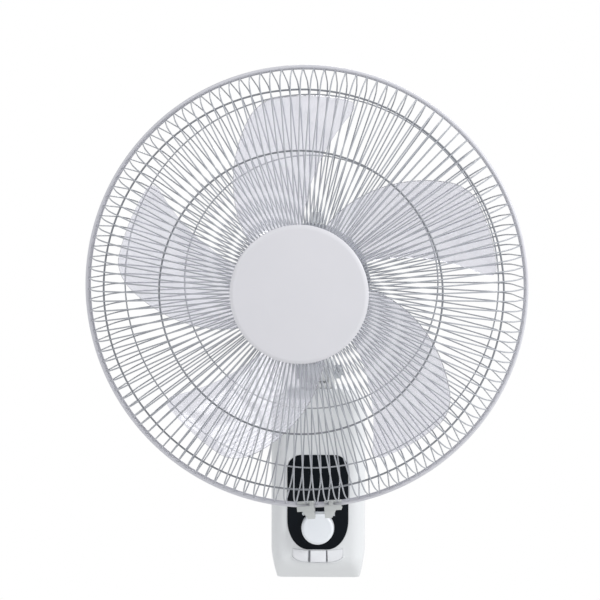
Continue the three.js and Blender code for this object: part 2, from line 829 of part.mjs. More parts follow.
function guardNut() {
  const back = rearHubBehind - wireCorner * Math.cos(Math.PI / 3) - 2 * seat - guardPlateThick;
  const flange = 3;
  const sides = 12;
  const bore = boreCorner(guardThreadRadius + runningGap, sides);
  return turned([
    [bore, behind(back)],
    [guardNutRadius, behind(back)],
    [guardNutRadius, behind(back - flange)],
    [guardNutRadius - 4, behind(back - flange)],
    [guardNutRadius - 5, behind(back - guardNutDepth)],
    [bore, behind(back - guardNutDepth)],
  ], sides);
}

// The screw that draws the rear cover on to the gearbox.
function coverScrew() {
  const start = behind(gearboxFrontBehind) + gearboxDepth + seat;
  const end = behind(coverBackBehind) + seat;
  return turned([
    [0, start],
    [housingScrewRadius, start],
    [housingScrewRadius, end],
    [housingScrewHead, end],
    [housingScrewHead, end + housingScrewHeadThick],
    [0, end + housingScrewHeadThick],
  ], 6);
}

// ---------- Swing drive ----------

const bossBottom = -(neckRise - neckBossTop) + seat;
const crankBottom = -gearboxBelow - crankThick - 4;
const linkBottom = crankBottom - 2 - linkThick;

function gearbox() {
  const front = behind(gearboxFrontBehind);
  const shape = roundedRect(gearboxHalfWidth, front, front + gearboxDepth, gearboxCorner, gearboxCorner, 2);
  const housing = planPlate(shape, -gearboxBelow, gearboxBelow + gearboxAbove);
  return join(housing, barZ(swingBossRadius, bossBottom, -gearboxBelow + 1, 10));
}

function swingSpindle() {
  return barZ(spindleRadius, bossBottom - 34, bossBottom - seat, 8);
}

// How far out the crank's pin sits, how far the link reaches from the swing axis, and the
// crank's turn at the swing that it has driven.
const crankThrow = linkPinOffset * Math.sin(degrees(swingLimit));
const linkReach = Math.hypot(crankBeside, crankAhead) + crankThrow + linkEnd;
const crankAngle = -headSwing * (crankLimit / swingLimit);

// The crank turns under the gearbox; its pin ends just above the link.
function crank() {
  const disc = barZ(crankRadius, 0, crankThick, 12);
  const top = -gearboxBelow - seat - crankBottom;
  const stem = barZ(crankPinRadius + 1, crankThick - 0.5, top, 8);
  const pin = barZ(crankPinRadius, linkBottom + linkThick + linkFloat - crankBottom, 0.5, 8)
    .translate(-crankThrow, 0, 0);
  return join(disc, stem, pin);
}

// A flat bar with round ends, bored for the neck's pin at one end and for the crank pin at the other.
function swingLink(length) {
  const shape = new THREE.Shape();
  shape.absarc(0, 0, linkEnd, Math.PI / 2, 1.5 * Math.PI);
  shape.absarc(length, 0, linkEnd, -Math.PI / 2, Math.PI / 2);
  for (const x of [0, length]) {
    const hole = new THREE.Path();
    hole.absarc(x, 0, crankPinRadius + runningGap, 0, 2 * Math.PI, true);
    shape.holes.push(hole);
  }
  return planPlate(shape, 0, linkThick, 4);
}

function clutchKnob() {
  const bottom = gearboxAbove + seat;
  const under = motorRadius + 0.6;
  return turnedUp([
    [0, bottom],
    [clutchStemRadius, bottom],
    [clutchStemRadius, under],
    [clutchKnobRadius - 1, under],
    [clutchKnobRadius, under + 3],
    [clutchKnobRadius, under + clutchKnobHeight - 2],
    [clutchKnobRadius - 2, under + clutchKnobHeight],
    [0, under + clutchKnobHeight],
  ], 12);
}

// The swinging head: the motor, its gearbox and everything that the guards carry.
function head() {
  const group = new THREE.Group();
  group.position.z = neckRise;
  group.rotation.z = degrees(headSwing);
  const crankMesh = named('swing_crank', crank(), steel);
  crankMesh.position.set(-crankBeside, -crankAhead, crankBottom);
  crankMesh.rotation.z = degrees(crankAngle);
  group.add(
    guards(),
    spinningParts(),
    motor(),
    named('gearbox', gearbox(), darkPlastic),
    named('swing_spindle', swingSpindle(), steel),
    crankMesh,
    named('clutch_knob', clutchKnob(), whitePlastic),
  );
  return group;
}

// ---------- Neck ----------

function neckCasting() {
  const boss = barZ(neckBossRadius, forkRadius + 1, neckBossTop, 16);
  const tongue = new THREE.Shape();
  tongue.moveTo(tongueRadius, forkRadius + 4);
  tongue.lineTo(-tongueRadius, forkRadius + 4);
  tongue.absarc(0, 0, tongueRadius, Math.PI, 2 * Math.PI);
  const plate = sidePlate(tongue, -tongueWidth / 2, tongueWidth, 4);
  const spindleBore = barZ(boreCorner(spindleRadius + runningGap, 8), neckBossTop - 34.5, neckBossTop + 1, 8);
  const boltBore = barX(boreCorner(tiltBoltRadius + runningGap, 10), -tongueWidth, tongueWidth, 10);
  return cut(join(boss, plate), spindleBore, boltBore);
}

// The tilting neck, with the fixed pin that the swing link turns on.
function neck() {
  const group = new THREE.Group();
  group.position.set(0, -axisFromWall, pivotHeight);
  group.rotation.x = degrees(headTilt);
  const pinTop = neckRise + linkBottom + linkThick + 1;
  const fixedPin = new THREE.Vector2(-linkPinOffset, 0);
  const reach = new THREE.Vector2(-crankThrow, 0)
    .rotateAround(new THREE.Vector2(), degrees(crankAngle))
    .add(new THREE.Vector2(-crankBeside, -crankAhead))
    .rotateAround(new THREE.Vector2(), degrees(headSwing))
    .sub(fixedPin);
  const link = named('swing_link', swingLink(reach.length()), steel);
  link.position.set(-linkPinOffset, 0, neckRise + linkBottom);
  link.rotation.z = reach.angle();
  group.add(
    named('neck', neckCasting(), whitePlastic),
    named('link_pin', barZ(crankPinRadius, neckBossTop + seat, pinTop, 10)
      .translate(-linkPinOffset, 0, 0), steel),
    link,
    head(),
  );
  return group;
}

// The fork stands on the housing's top and holds the neck between two cheeks.
function tiltFork() {
  const foot = housingTop + seat - pivotHeight;
  const outline = new THREE.Shape();
  outline.moveTo(forkBack, foot);
  outline.lineTo(forkBack, foot + forkFoot);
  outline.absarc(0, 0, forkRadius, 0.35 * Math.PI, 1.5 * Math.PI);
  outline.lineTo(4, foot);
  const inner = tongueWidth / 2 + seat;
  const outer = inner + forkCheek;
  const whole = sidePlate(outline, -outer, 2 * outer, 6);
  const slot = block([-inner, inner], [-forkRadius - 5, forkBack + 5], [foot + forkFoot, forkRadius + 5]);
  const bore = barX(tiltBoltRadius + runningGap, -outer - 1, outer + 1, 10);
  return cut(whole, slot, bore);
}

function tiltBolt() {
  const outer = tongueWidth / 2 + seat + forkCheek;
  return turnedAcross([
    [0, -outer - seat - tiltHeadThick],
    [tiltHeadRadius, -outer - seat - tiltHeadThick],
    [tiltHeadRadius, -outer - seat],
    [tiltBoltRadius, -outer - seat],
    [tiltBoltRadius, outer + tiltNutThick + 2],
    [0, outer + tiltNutThick + 2],
  ], 8);
}

function tiltNut() {
  const outer = tongueWidth / 2 + seat + forkCheek;
  const bore = boreCorner(tiltBoltRadius + runningGap, 6);
  return turnedAcross([
    [bore, outer + seat],
    [tiltHeadRadius + 1, outer + seat],
    [tiltHeadRadius + 1, outer + tiltNutThick],
    [bore, outer + tiltNutThick],
  ], 6);
}

function forkParts() {
  const group = new THREE.Group();
  group.position.set(0, -axisFromWall, pivotHeight);
  group.add(
    named('tilt_fork', tiltFork(), whitePlastic),
    named('tilt_bolt', tiltBolt(), steel),
    named('tilt_nut', tiltNut(), steel),
  );
  return group;
}

// ---------- Housing ----------

// The housing's half width and its front, at a height: tapered below, shouldered above.
function housingAt(height) {
  const low = Math.max(0, (housingBottom + bottomTaper - height) / bottomTaper);
  const recede = Math.max(0, (low - recedeStart) / (1 - recedeStart));
  const high = Math.max(0, (height - housingTop + shoulderHeight) / shoulderHeight);
  const lean = Math.max(0, (height - leanStart) / (housingTop - leanStart));
  return {
    half: housingHalfWidth - bottomNarrow * low ** 2 - shoulderNarrow * (1 - Math.sqrt(1 - high ** 2)),
    front: -(housingFront - bottomRecede * recede ** 1.6 + housingLean * lean ** 2),
  };
}

const housingHeights = [
  ...[0, 0.14, 0.36, 1 - recedeStart, 1].map((share) => housingBottom + share * bottomTaper),
  leanStart,
  ...[0, 0.5, 0.8, 0.95, 1].map((share) => housingTop - shoulderHeight * (1 - share)),
];

// A horizontal section: square at the back, rounded at the two front corners.
function housingRing(height, back, inset, level) {
  const { half, front } = housingAt(height);
  const width = half - inset;
  const face = front + inset;
  const corner = housingCorner - inset;
  const steps = 3;
  const points = [new THREE.Vector3(-width, back, level)];
  for (const side of [-1, 1]) {
    for (let step = 0; step <= steps; step += 1) {
      const turn = (Math.PI / 2) * (side < 0 ? step / steps : 1 - step / steps);
      const x = side * (width - corner + corner * Math.cos(turn));
      points.push(new THREE.Vector3(x, face + corner - corner * Math.sin(turn), level));
    }
  }
  points.push(new THREE.Vector3(width, back, level));
  return points;
}

// Outline of the row of keys, smaller by a gap: flat above, and curved below at its ends.
function keyRowOutline(gap) {
  const steps = 14;
  const half = keyHalfSpan - gap;
  const above = [1, 0.65, 0.3, -0.3, -0.65, -1];
  const points = above.map((share) => [share * half, keyTop - gap + keyTopRise * share ** 2]);
  for (let step = 0; step <= steps; step += 1) {
    const share = -Math.cos((Math.PI * step) / steps);
    const run = Math.max(0, (Math.abs(share) - keyFlatShare) / (1 - keyFlatShare));
    const rise = (keyTop - keyBottom - keyEndDrop) * (1 - Math.sqrt(1 - run ** 2));
    points.push([share * half, keyBottom + gap + rise]);
  }
  return polygon(points);
}

function panelOutline(gap) {
  return roundedRect(
    panelHalfWidth - gap,
    panelBottom + gap,
    panelTop - gap,
    panelBottomCorner - gap,
    panelTopCorner - gap,
    5,
  );
}

const screwSpots = [
  [-38, -62],
  [38, -62],
];

function frontHousing() {
  const back = -splitDepth - seat;
  const skin = loft(housingHeights.map((height) => housingRing(height, back, 0, height)));
  const inside = housingHeights.map((height) => {
    const level = THREE.MathUtils.clamp(height, housingBottom + housingWall, housingTop - housingWall);
    return housingRing(height, back + 5, housingWall, level);
  });
  const hollow = loft(inside.filter((ring, index) => index === 0 || ring[0].z > inside[index - 1][0].z));
  const face = -housingFront;
  const recess = frontPlate(panelOutline(0), face + panelThick - panelProud + seat, panelThick + 5);
  const knobHole = barY(knobShaftRadius + 1.5, face - 2, face + housingWall + 3, 8)
    .translate(0, 0, knobHeight);
  const keySlot = frontPlate(keyRowOutline(0), face + 2 * keyDepth, 3 * keyDepth);
  const shell = cut(skin, hollow);
  const backing = meet(skin, frontPlate(panelOutline(-2), face + housingWall + 1.4, 2.6));
  const posts = screwSpots.map(([x, z]) => meet(
    skin,
    barY(bossRadius, back, face + housingWall / 2, 6).translate(x, 0, z),
  ));
  const holes = screwSpots.map(([x, z]) =>
    barY(housingScrewRadius + runningGap, back - 12, back + 2, 6).translate(x, 0, z));
  return cut(join(shell, backing, ...posts), recess, knobHole, keySlot, ...holes);
}

// The outline of the rear housing: the housing's own width at every height.
function housingOutline(inset) {
  const heights = housingHeights.map((height) =>
    THREE.MathUtils.clamp(height, housingBottom + inset, housingTop - inset));
  const right = heights.map((height, index) => [housingAt(housingHeights[index]).half - inset, height])
    .filter(([, height], index) => index === 0 || height > heights[index - 1]);
  const left = right.map(([x, z]) => [-x, z]).reverse();
  return polygon([...right, ...left]);
}

const plateRecess = wallPlateThick + seat;

function rearHousing() {
  const rim = -housingOffWall;
  const floor = -plateRecess - housingWall;
  const whole = frontPlate(housingOutline(0), rim, splitDepth - housingOffWall);
  const pocket = frontPlate(housingOutline(housingWall), floor, splitDepth);
  const recess = frontPlate(
    wallPlateOutline(2),
    rim + 1,
    plateRecess + 1 - housingOffWall,
  );
  const shell = cut(whole, pocket, recess);
  const posts = screwSpots.map(([x, z]) => barY(bossRadius, -splitDepth, floor + 1, 6).translate(x, 0, z));
  const holes = screwSpots.map(([x, z]) =>
    barY(housingScrewRadius + runningGap, -splitDepth - 1, rim + 1, 6).translate(x, 0, z));
  const counterbores = screwSpots.map(([x, z]) =>
    barY(housingScrewHead + 0.6, rim - housingScrewHeadThick - seat, rim + 1, 6).translate(x, 0, z));
  const bushHole = barZ(bushRadius + 2 * seat, housingBottom - 1, housingBottom + housingWall + 1, 10)
    .translate(0, bushY, 0);
  return cut(join(shell, ...posts), ...holes, ...counterbores, bushHole);
}

const bushY = -splitDepth / 2;

function housingScrew() {
  const head = -housingOffWall - 0.2;
  return turned([
    [0, -splitDepth - 10],
    [housingScrewRadius, -splitDepth - 10],
    [housingScrewRadius, head - housingScrewHeadThick],
    [housingScrewHead, head - housingScrewHeadThick],
    [housingScrewHead, head],
    [0, head],
  ], 6);
}

// The rubber bush that the supply lead would pass, seated in the rear housing's lower edge.
function cordBush() {
  const low = housingBottom;
  return turnedUp([
    [bushBore, low - 4],
    [bushFlange - 1, low - 4],
    [bushFlange, low - seat],
    [bushRadius, low - seat],
    [bushRadius, low + housingWall + 3],
    [bushBore, low + housingWall + 3],
  ], 10).translate(0, bushY, 0);
}

function wallPlateOutline(grow) {
  const corner = wallPlateCorner + grow;
  const height = wallPlateHalfHeight + grow;
  return roundedRect(wallPlateHalfWidth + grow, -height, height, corner, corner, 2);
}

// The steel plate that is screwed to the wall; the housing hangs over it.
function wallPlate() {
  const shape = wallPlateOutline(0);
  const spots = [-1, 1].flatMap((side) => [-1, 1].map((end) => [
    side * (wallPlateHalfWidth - wallScrewInset / 2 - 3),
    end * (wallPlateHalfHeight - wallScrewInset),
  ]));
  for (const [x, z] of spots) {
    const hole = new THREE.Path();
    hole.absarc(x, z, wallScrewRadius, 0, 2 * Math.PI, true);
    shape.holes.push(hole);
  }
  return frontPlate(shape, 0, wallPlateThick, 4);
}

// ---------- Controls ----------

function controlPanel() {
  const back = -housingFront + panelThick - panelProud;
  const plate = frontPlate(panelOutline(seat), back, panelThick);
  const hole = barY(knobShaftRadius + 1.5, back - panelThick - 1, back + 1, 8).translate(0, 0, knobHeight);
  return cut(plate, hole);
}

const knobBack = -housingFront - panelProud - 0.6;

function controlKnob() {
  const front = knobBack - knobThick;
  const bore = knobShaftRadius + seat;
  return turned([
    [bore, knobBack],
    [knobRadius - 0.5, knobBack],
    [knobRadius, knobBack - 1],
    [knobRadius - 0.7, front + 2.2],
    [knobRadius - 2.6, front],
    [0, front - 0.5],
    [0, front + 4],
    [bore, front + 4],
  ].reverse(), 20).translate(0, 0, knobHeight);
}

const wallInside = -housingFront + housingWall + 1.4;

function controlParts() {
  const group = new THREE.Group();
  const timer = block(
    [-timerHalf, timerHalf],
    [wallInside + seat, wallInside + timerDepth],
    [knobHeight - timerHalf, knobHeight + timerHalf],
  );
  group.add(
    named('control_panel', controlPanel(), blackPanel),
    named('control_knob', controlKnob(), greyPlastic),
    named('knob_shaft', barY(knobShaftRadius, knobBack - knobThick + 4.3, wallInside, 10)
      .translate(0, 0, knobHeight), steel),
    named('timer_unit', timer, darkPlastic),
    named('switch_block', switchBlock(), darkPlastic),
  );
  const width = (2 * keyHalfSpan - 2 * keySpacer) / 3;
  for (let index = 0; index < 3; index += 1) {
    const from = -keyHalfSpan + index * (width + keySpacer);
    group.add(named(`speed_key_${index + 1}`, pushKey(from, from + width), greyPlastic));
  }
  return group;
}

// A key and the stem that works its switch.
function pushKey(from, to) {
  const back = -housingFront - keyProud + keyDepth;
  const row = frontPlate(keyRowOutline(keyGap), back, keyDepth);
  const cap = meet(row, block([from, to], [back - keyDepth - 1, back + 1], [keyBottom, keyTop + keyTopRise]));
  const middle = (from + to) / 2;
  const level = (keyTop + keyBottom) / 2;
  const stem = block(
    [middle - keyStem / 2, middle + keyStem / 2],
    [back - 1, back + keyStem],
    [level - keyStem / 2, level + keyStem / 2],
  );
  return join(cap, stem);
}

// The switch body hangs behind the keys, on two lugs that rest on the panel's backing.
function switchBlock() {
  const back = -housingFront - keyProud + keyDepth + keyStem + keyTravel + seat;
  const half = keyHalfSpan + 2;
  const body = block([-half, half], [back, back + 14], [keyBottom - 1, keyTop + 4]);
  const lug = block([lugInner, lugOuter], [wallInside + seat, back + 1], [keyTop + 0.5, keyTop + 4]);
  return join(body, lug, mirrored(lug.clone()));
}

function housingParts() {
  const group = new THREE.Group();
  const floor = -plateRecess - housingWall - seat;
  group.add(
    named('wall_plate', wallPlate(), steel),
    named('rear_housing', rearHousing(), whitePlastic),
    named('front_housing', frontHousing(), whitePlastic),
    named('cord_bush', cordBush(), blackRubber),
    named('run_capacitor', block([-19, 19], [floor - 20, floor], [2, 27]), darkPlastic),
    named('terminal_block', block([-16, 16], [floor - 11, floor], [-40, -26]), darkPlastic),
  );
  screwSpots.forEach(([x, z], index) => {
    const screw = named(`housing_screw_${index + 1}`, housingScrew(), steel);
    screw.position.set(x, 0, z);
    group.add(screw);
  });
  return group;
}

const fan = new THREE.Group();
fan.name = 'wall_fan';
fan.add(housingParts(), controlParts(), forkParts(), neck());

export default fan;
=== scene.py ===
import math

import bmesh
import bpy
from mathutils import Matrix, Vector


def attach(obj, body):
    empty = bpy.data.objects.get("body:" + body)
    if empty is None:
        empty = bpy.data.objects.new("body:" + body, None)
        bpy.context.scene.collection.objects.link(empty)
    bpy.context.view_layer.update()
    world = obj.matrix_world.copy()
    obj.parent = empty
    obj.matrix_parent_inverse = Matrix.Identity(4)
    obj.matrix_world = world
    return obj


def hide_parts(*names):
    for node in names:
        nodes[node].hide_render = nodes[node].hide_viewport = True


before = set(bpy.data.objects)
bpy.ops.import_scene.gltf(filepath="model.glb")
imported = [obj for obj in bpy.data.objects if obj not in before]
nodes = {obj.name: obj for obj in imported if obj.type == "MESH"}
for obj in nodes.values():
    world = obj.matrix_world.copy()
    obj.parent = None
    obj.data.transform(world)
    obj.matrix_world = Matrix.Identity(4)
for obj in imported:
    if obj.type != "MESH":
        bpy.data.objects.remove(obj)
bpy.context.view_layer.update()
mm = 0.001

# the fan's stance: everything below is drawn in millimetres in one of these frames
stance = {"pivot": (0, -106, 122), "tilt": 5.6, "rise": 104, "swing": -3.2, "roll": 3.1,
          "clampRoll": 0.62, "reach": 150}


def turn(angle, axis):
    return Matrix.Rotation(math.radians(angle), 4, axis)


wallFrame = Matrix.Identity(4)
pivotFrame = Matrix.Translation(stance["pivot"])
neckFrame = pivotFrame @ turn(stance["tilt"], "X")
headFrame = neckFrame @ Matrix.Translation((0, 0, stance["rise"])) @ turn(stance["swing"], "Z")
guardFrame = headFrame @ turn(-stance["roll"], "Y")
clampFrame = guardFrame @ turn(-stance["clampRoll"], "Y")


def ahead(distance):
    return -(stance["reach"] + distance)     # y on the head, ahead of the rim plane


# materials

def srgb(code):
    parts = [int(code[i:i + 2], 16) / 255 for i in (1, 3, 5)]
    return tuple(p / 12.92 if p <= 0.04045 else ((p + 0.055) / 1.055) ** 2.4 for p in parts) + (1,)


def addNode(tree, kind, inputs=None, **settings):
    # an input takes a value, a socket, or a node, which stands for its first output
    node = tree.nodes.new(kind)
    for name, value in settings.items():
        setattr(node, name, value)
    for key, value in (inputs or {}).items():
        if isinstance(value, bpy.types.Node):
            value = value.outputs[0]
        if isinstance(value, bpy.types.NodeSocket):
            tree.links.new(value, node.inputs[key])
        else:
            node.inputs[key].default_value = value
    return node


def finish(look):
    # the drift tints, the grain stands as bump and the wear sets the gloss, each a noise of (size in
    # mm, detail, roughness); without grain or wear the drift does their work, or else a pattern does
    material = bpy.data.materials.new(look["name"])
    material.use_nodes = True
    tree = material.node_tree
    shader = tree.nodes["Principled BSDF"].inputs
    coords = addNode(tree, "ShaderNodeTexCoord").outputs["Object"]
    place = addNode(tree, "ShaderNodeMapping", {"Vector": coords,
                                                "Rotation": look.get("twist", (0, 0, 0))})
    layers = {}
    for layer in ("drift", "grain", "wear"):
        if layer in look:
            size, detail, rough = look[layer]
            layers[layer] = addNode(tree, "ShaderNodeTexNoise", {
                "Vector": place, "Scale": 1 / (size * mm), "Detail": detail, "Roughness": rough})
    if "pattern" in look:
        kind, output, inputs, settings = look["pattern"]
        texture = addNode(tree, kind, {"Vector": place, **inputs}, **settings)
        layers["drift"] = texture.outputs[output]
    drift = layers["drift"]
    first, second = (srgb(code) for code in look["tones"])
    tint = addNode(tree, "ShaderNodeMix", {0: drift, 6: first, 7: second}, data_type="RGBA")
    strength, height = look["bump"]
    bump = addNode(tree, "ShaderNodeBump", {"Strength": strength, "Distance": height * mm,
                                            "Height": layers.get("grain", drift)},
                   invert=look.get("sunk", False))
    low, high = look["rough"]
    gloss = addNode(tree, "ShaderNodeMapRange", {"Value": layers.get("wear", drift), "From Min": 0.3,
                                                 "From Max": 0.7, "To Min": low, "To Max": high})
    for socket, name in ((tint.outputs[2], "Base Color"), (bump.outputs["Normal"], "Normal"),
                         (gloss.outputs["Result"], "Roughness")):
        tree.links.new(socket, shader[name])
    for name, value in look.get("shader", {}).items():
        shader[name].default_value = value
    return material


def moulded(name, tones, drift, grain, bump, rough, ior, gloss=0.5):
    # drift: where the melt cooled unevenly; grain: the spark-eroded mould, 0.2 mm on the real
    # part and drawn coarser so that it shows; wear: handled places are a little smoother
    return finish({"name": name, "tones": tones, "twist": (0.3, 0.2, 0.5), "drift": (drift, 3, 0.55),
                   "grain": (grain, 2, 0.6), "wear": (22, 4, 0.5), "bump": (bump, 0.05),
                   "rough": rough, "shader": {"IOR": ior, "Specular IOR Level": gloss}})


# white ABS with a fine satin texture: the housing, the neck and the motor covers
whiteAbs = moulded("moulded ABS, white satin", ("#E9EBEC", "#E3E5E7"), 70, 0.9, 0.10, (0.40, 0.48), 1.54)
# light grey ABS with a faint lavender cast: badge and nuts, a shade glossier
greyAbs = moulded("moulded ABS, light grey", ("#E5E4E9", "#DFDFE4"), 45, 0.9, 0.05, (0.30, 0.38), 1.54)
# a cooler grey on the knob, painted paler than its own colour as painted light against the shadow the
# guard casts on it
knobLitAbs = moulded("moulded ABS, knob grey, painted light", ("#F0F4F8", "#EAEEF3"), 45, 0.9, 0.05, (0.30, 0.38), 1.54)
# pale grey on the keys, more matt from finger wear
keyAbs = moulded("moulded ABS, key grey", ("#EDEEF1", "#E8E9ED"), 30, 0.7, 0.06, (0.36, 0.46), 1.54)
# grey polypropylene, tough and springy: the rim clamp
clampPp = moulded("moulded polypropylene, grey", ("#CFD2D1", "#C7CAC9"), 12, 0.8, 0.12, (0.44, 0.54), 1.49)
# polished dark acrylic-capped plate round the knob: nearly black with a navy cast
panelGloss = moulded("moulded PMMA over ABS, navy black", ("#0A0F14", "#10161D"), 40, 2.5, 0.02,
                     (0.10, 0.17), 1.49, gloss=0.08)
# glass-filled nylon: gearbox, switch and timer bodies, dull with pale fibre specks
darkNylon = moulded("moulded nylon, glass-filled black", ("#25272B", "#36393F"), 3, 0.8, 0.3,
                    (0.48, 0.62), 1.53)
# the bars between the keys are painted dark grey as painted shade for the gaps; their plastic is the
# housing's white
shadowAbs = moulded("moulded ABS, painted gap shade", ("#8E9094", "#7F8186"), 8, 0.9, 0.1, (0.5, 0.6), 1.54)


def tintedResin(name, tones, clear):
    # AS resin, injection moulded and tinted with a little white and blue, so that the shapes
    # behind it show as soft shades
    return finish({"name": name, "tones": tones, "drift": (55, 2, 0.5), "grain": (9, 1, 0.5),
                   "bump": (0.05, 0.1), "rough": (0.03, 0.07),
                   "shader": {"IOR": 1.57, "Transmission Weight": clear}})


bladeResin = tintedResin("AS resin, tinted clear", ("#F7F7FD", "#F2F2F9"), 0.78)
# painted shade: a darker, less clear copy of the blade resin for the dark line along each blade's edge
bladeEdgeShade = tintedResin("AS resin, painted edge shade", ("#7C8698", "#8A94A6"), 0.25)


def coatedWire(name, tones):
    # low-carbon steel wire under a fused epoxy powder coat: even grey, with the coat's
    # orange peel (1 mm on the real wire, kept at 1.2 mm)
    return finish({"name": name, "tones": tones, "drift": (18, 3, 0.5), "grain": (1.2, 1, 0.5),
                   "bump": (0.15, 0.04), "rough": (0.28, 0.38), "shader": {"IOR": 1.55}})


wireCoat = coatedWire("epoxy-coated wire, grey", ("#B3B6BC", "#AAADB4"))
# painted shade: the front support rings get a darker copy of the same coat
ringShadeCoat = coatedWire("epoxy-coated wire, painted ring shade", ("#898C92", "#7F8289"))
rearRingCoat = coatedWire("epoxy-coated wire, rear rings", ("#B0B3B8", "#A7AAB0"))
# painted light and shade: the rim and hub rings get paler copies of the same coat, the front one lightest
# as lit, the rear one darker as lying in the front rim's shadow
rimLitCoat = coatedWire("epoxy-coated rim wire, painted light", ("#DADAE0", "#D2D2D9"))
rearRimShadeCoat = coatedWire("epoxy-coated rim wire, painted shade", ("#CDCDD5", "#C5C5CD"))


def bareMetal(name, tones, rough, grain, height):
    # one grain for tone, relief and gloss: crystal spangle or blasted skin
    return finish({"name": name, "tones": tones, "drift": (grain, 4, 0.5), "bump": (0.3, height),
                   "rough": rough, "shader": {"Metallic": 1}})


# zinc plate on pressed and turned steel: bright, with a faint spangle
zincSteel = bareMetal("zinc-plated steel", ("#C3C7CB", "#AEB3B8"), (0.26, 0.40), 2.2, 0.03)
# sand-blasted die casting: end shields
dieCast = bareMetal("die-cast aluminium", ("#A9ADB0", "#92969A"), (0.50, 0.66), 0.9, 0.08)
# moulded EPDM, dusted with talc in its pores: the bush of the mains lead
rubber = finish({"name": "moulded EPDM rubber", "tones": ("#1A1B1D", "#2C2D30"), "drift": (1.4, 4, 0.5),
                 "bump": (0.35, 0.08), "rough": (0.68, 0.85), "shader": {"IOR": 1.51}})
# stack of 0.5 mm silicon-steel sheets seen on edge; bands drawn at 1 mm so that they show
laminations = finish({"name": "silicon-steel laminations", "twist": (math.radians(stance["tilt"]), 0, 0),
                      "pattern": ("ShaderNodeTexWave", "Fac", {"Scale": 0.314 / (1 * mm) / 2,
                                                               "Distortion": 0.3},
                                  {"bands_direction": "Y"}),
                      "tones": ("#4E5258", "#777C83"), "bump": (0.5, 0.1), "rough": (0.42, 0.6),
                      "shader": {"Metallic": 1}})
# random-wound enamelled wire, 0.5 mm; drawn as 0.9 mm cells under amber varnish
copperWinding = finish({"name": "enamelled copper winding", "tones": ("#B5683C", "#6E3A22"),
                        "pattern": ("ShaderNodeTexVoronoi", "Distance", {"Scale": 1 / (0.9 * mm)}, {}),
                        "bump": (0.6, 0.2), "sunk": True, "rough": (0.25, 0.5),
                        "shader": {"Metallic": 0.85}})
slotPaint = {"white_plastic": whiteAbs, "grey_plastic": greyAbs, "clamp_plastic": clampPp,
             "panel_plastic": panelGloss, "fan_resin": bladeResin, "coated_wire": wireCoat,
             "zinc_steel": zincSteel, "die_cast": dieCast, "lamination": laminations,
             "copper_wire": copperWinding, "dark_plastic": darkNylon, "black_rubber": rubber}
for node in nodes.values():
    for place in node.material_slots:
        place.material = slotPaint[place.material.name.split(".")[0]]
print("materials on", len(nodes), "nodes")


# shapes

def softened(points, closed=False, steps=4):
    # (a, b) or (a, b, radius): rounds each corner that has a radius
    path = []
    count = len(points)
    for i, point in enumerate(points):
        here = Vector(point[:2])
        radius = point[2] if len(point) > 2 else 0
        if not radius or (not closed and i in (0, count - 1)):
            path.append(tuple(here))
            continue
        back = Vector(points[i - 1][:2]) - here
        on = Vector(points[(i + 1) % count][:2]) - here
        reach = min(radius / math.tan(back.angle(on) / 2), 0.49 * back.length, 0.49 * on.length)
        half = back.angle(on) / 2
        centre = here + (back.normalized() + on.normalized()).normalized() * (reach / math.cos(half))
        start = here + back.normalized() * reach - centre
        end = here + on.normalized() * reach - centre
        sweep = start.angle_signed(end)
        for k in range(steps + 1):
            a = -sweep * k / steps
            path.append((centre.x + start.x * math.cos(a) - start.y * math.sin(a),
                         centre.y + start.x * math.sin(a) + start.y * math.cos(a)))
    return path


def around(count):
    return [(math.cos(a), math.sin(a)) for a in (2 * math.pi * i / count for i in range(count))]


def skinned(rings, capped=True, looped=False):
    # closed skin through rings of 3D points; a ring of one point is a pole
    bm = bmesh.new()
    made = [[bm.verts.new(p) for p in ring] for ring in rings]
    pairs = list(zip(made, made[1:])) + ([(made[-1], made[0])] if looped else [])
    for low, high in pairs:
        count = max(len(low), len(high))
        for i in range(count):
            j = (i + 1) % count
            corners = [low[i % len(low)], low[j % len(low)], high[j % len(high)], high[i % len(high)]]
            face = list(dict.fromkeys(corners))
            if len(face) > 2:
                bm.faces.new(face)
    if capped and not looped:
        for ring in (made[0], made[-1]):
            if len(ring) > 2:
                bm.faces.new(ring)
    bmesh.ops.recalc_face_normals(bm, faces=bm.faces)
    return bm


def turned(profile, sides=96):
    # (radius, y) about the Y axis, closed on itself unless it starts and ends on the axis
    onAxis = profile[0][0] < 1e-6 and profile[-1][0] < 1e-6
    rings = [[(0, y, 0)] if radius < 1e-6 else [(radius * c, y, radius * s) for c, s in around(sides)]
             for radius, y in profile]
    return skinned(rings, capped=False, looped=not onAxis)


def drill(radius, start, end, sides=32):
    return turned([(0, start), (radius, start), (radius, end), (0, end)], sides)


def grown(outline, by):
    # the same outline moved outward by a distance, corner by corner
    count = len(outline)
    area = sum(outline[i][0] * outline[(i + 1) % count][1] - outline[(i + 1) % count][0] * outline[i][1]
               for i in range(count))
    side = 1 if area > 0 else -1
    shifted = []
    for i, point in enumerate(outline):
        here = Vector(point)
        before = (here - Vector(outline[i - 1])).normalized()
        after = (Vector(outline[(i + 1) % count]) - here).normalized()
        out = Vector((before.y + after.y, -before.x - after.x)) * side
        scale = 1 + before.dot(after)
        shifted.append(tuple(here + out * (by / max(scale, 0.3))))
    return shifted


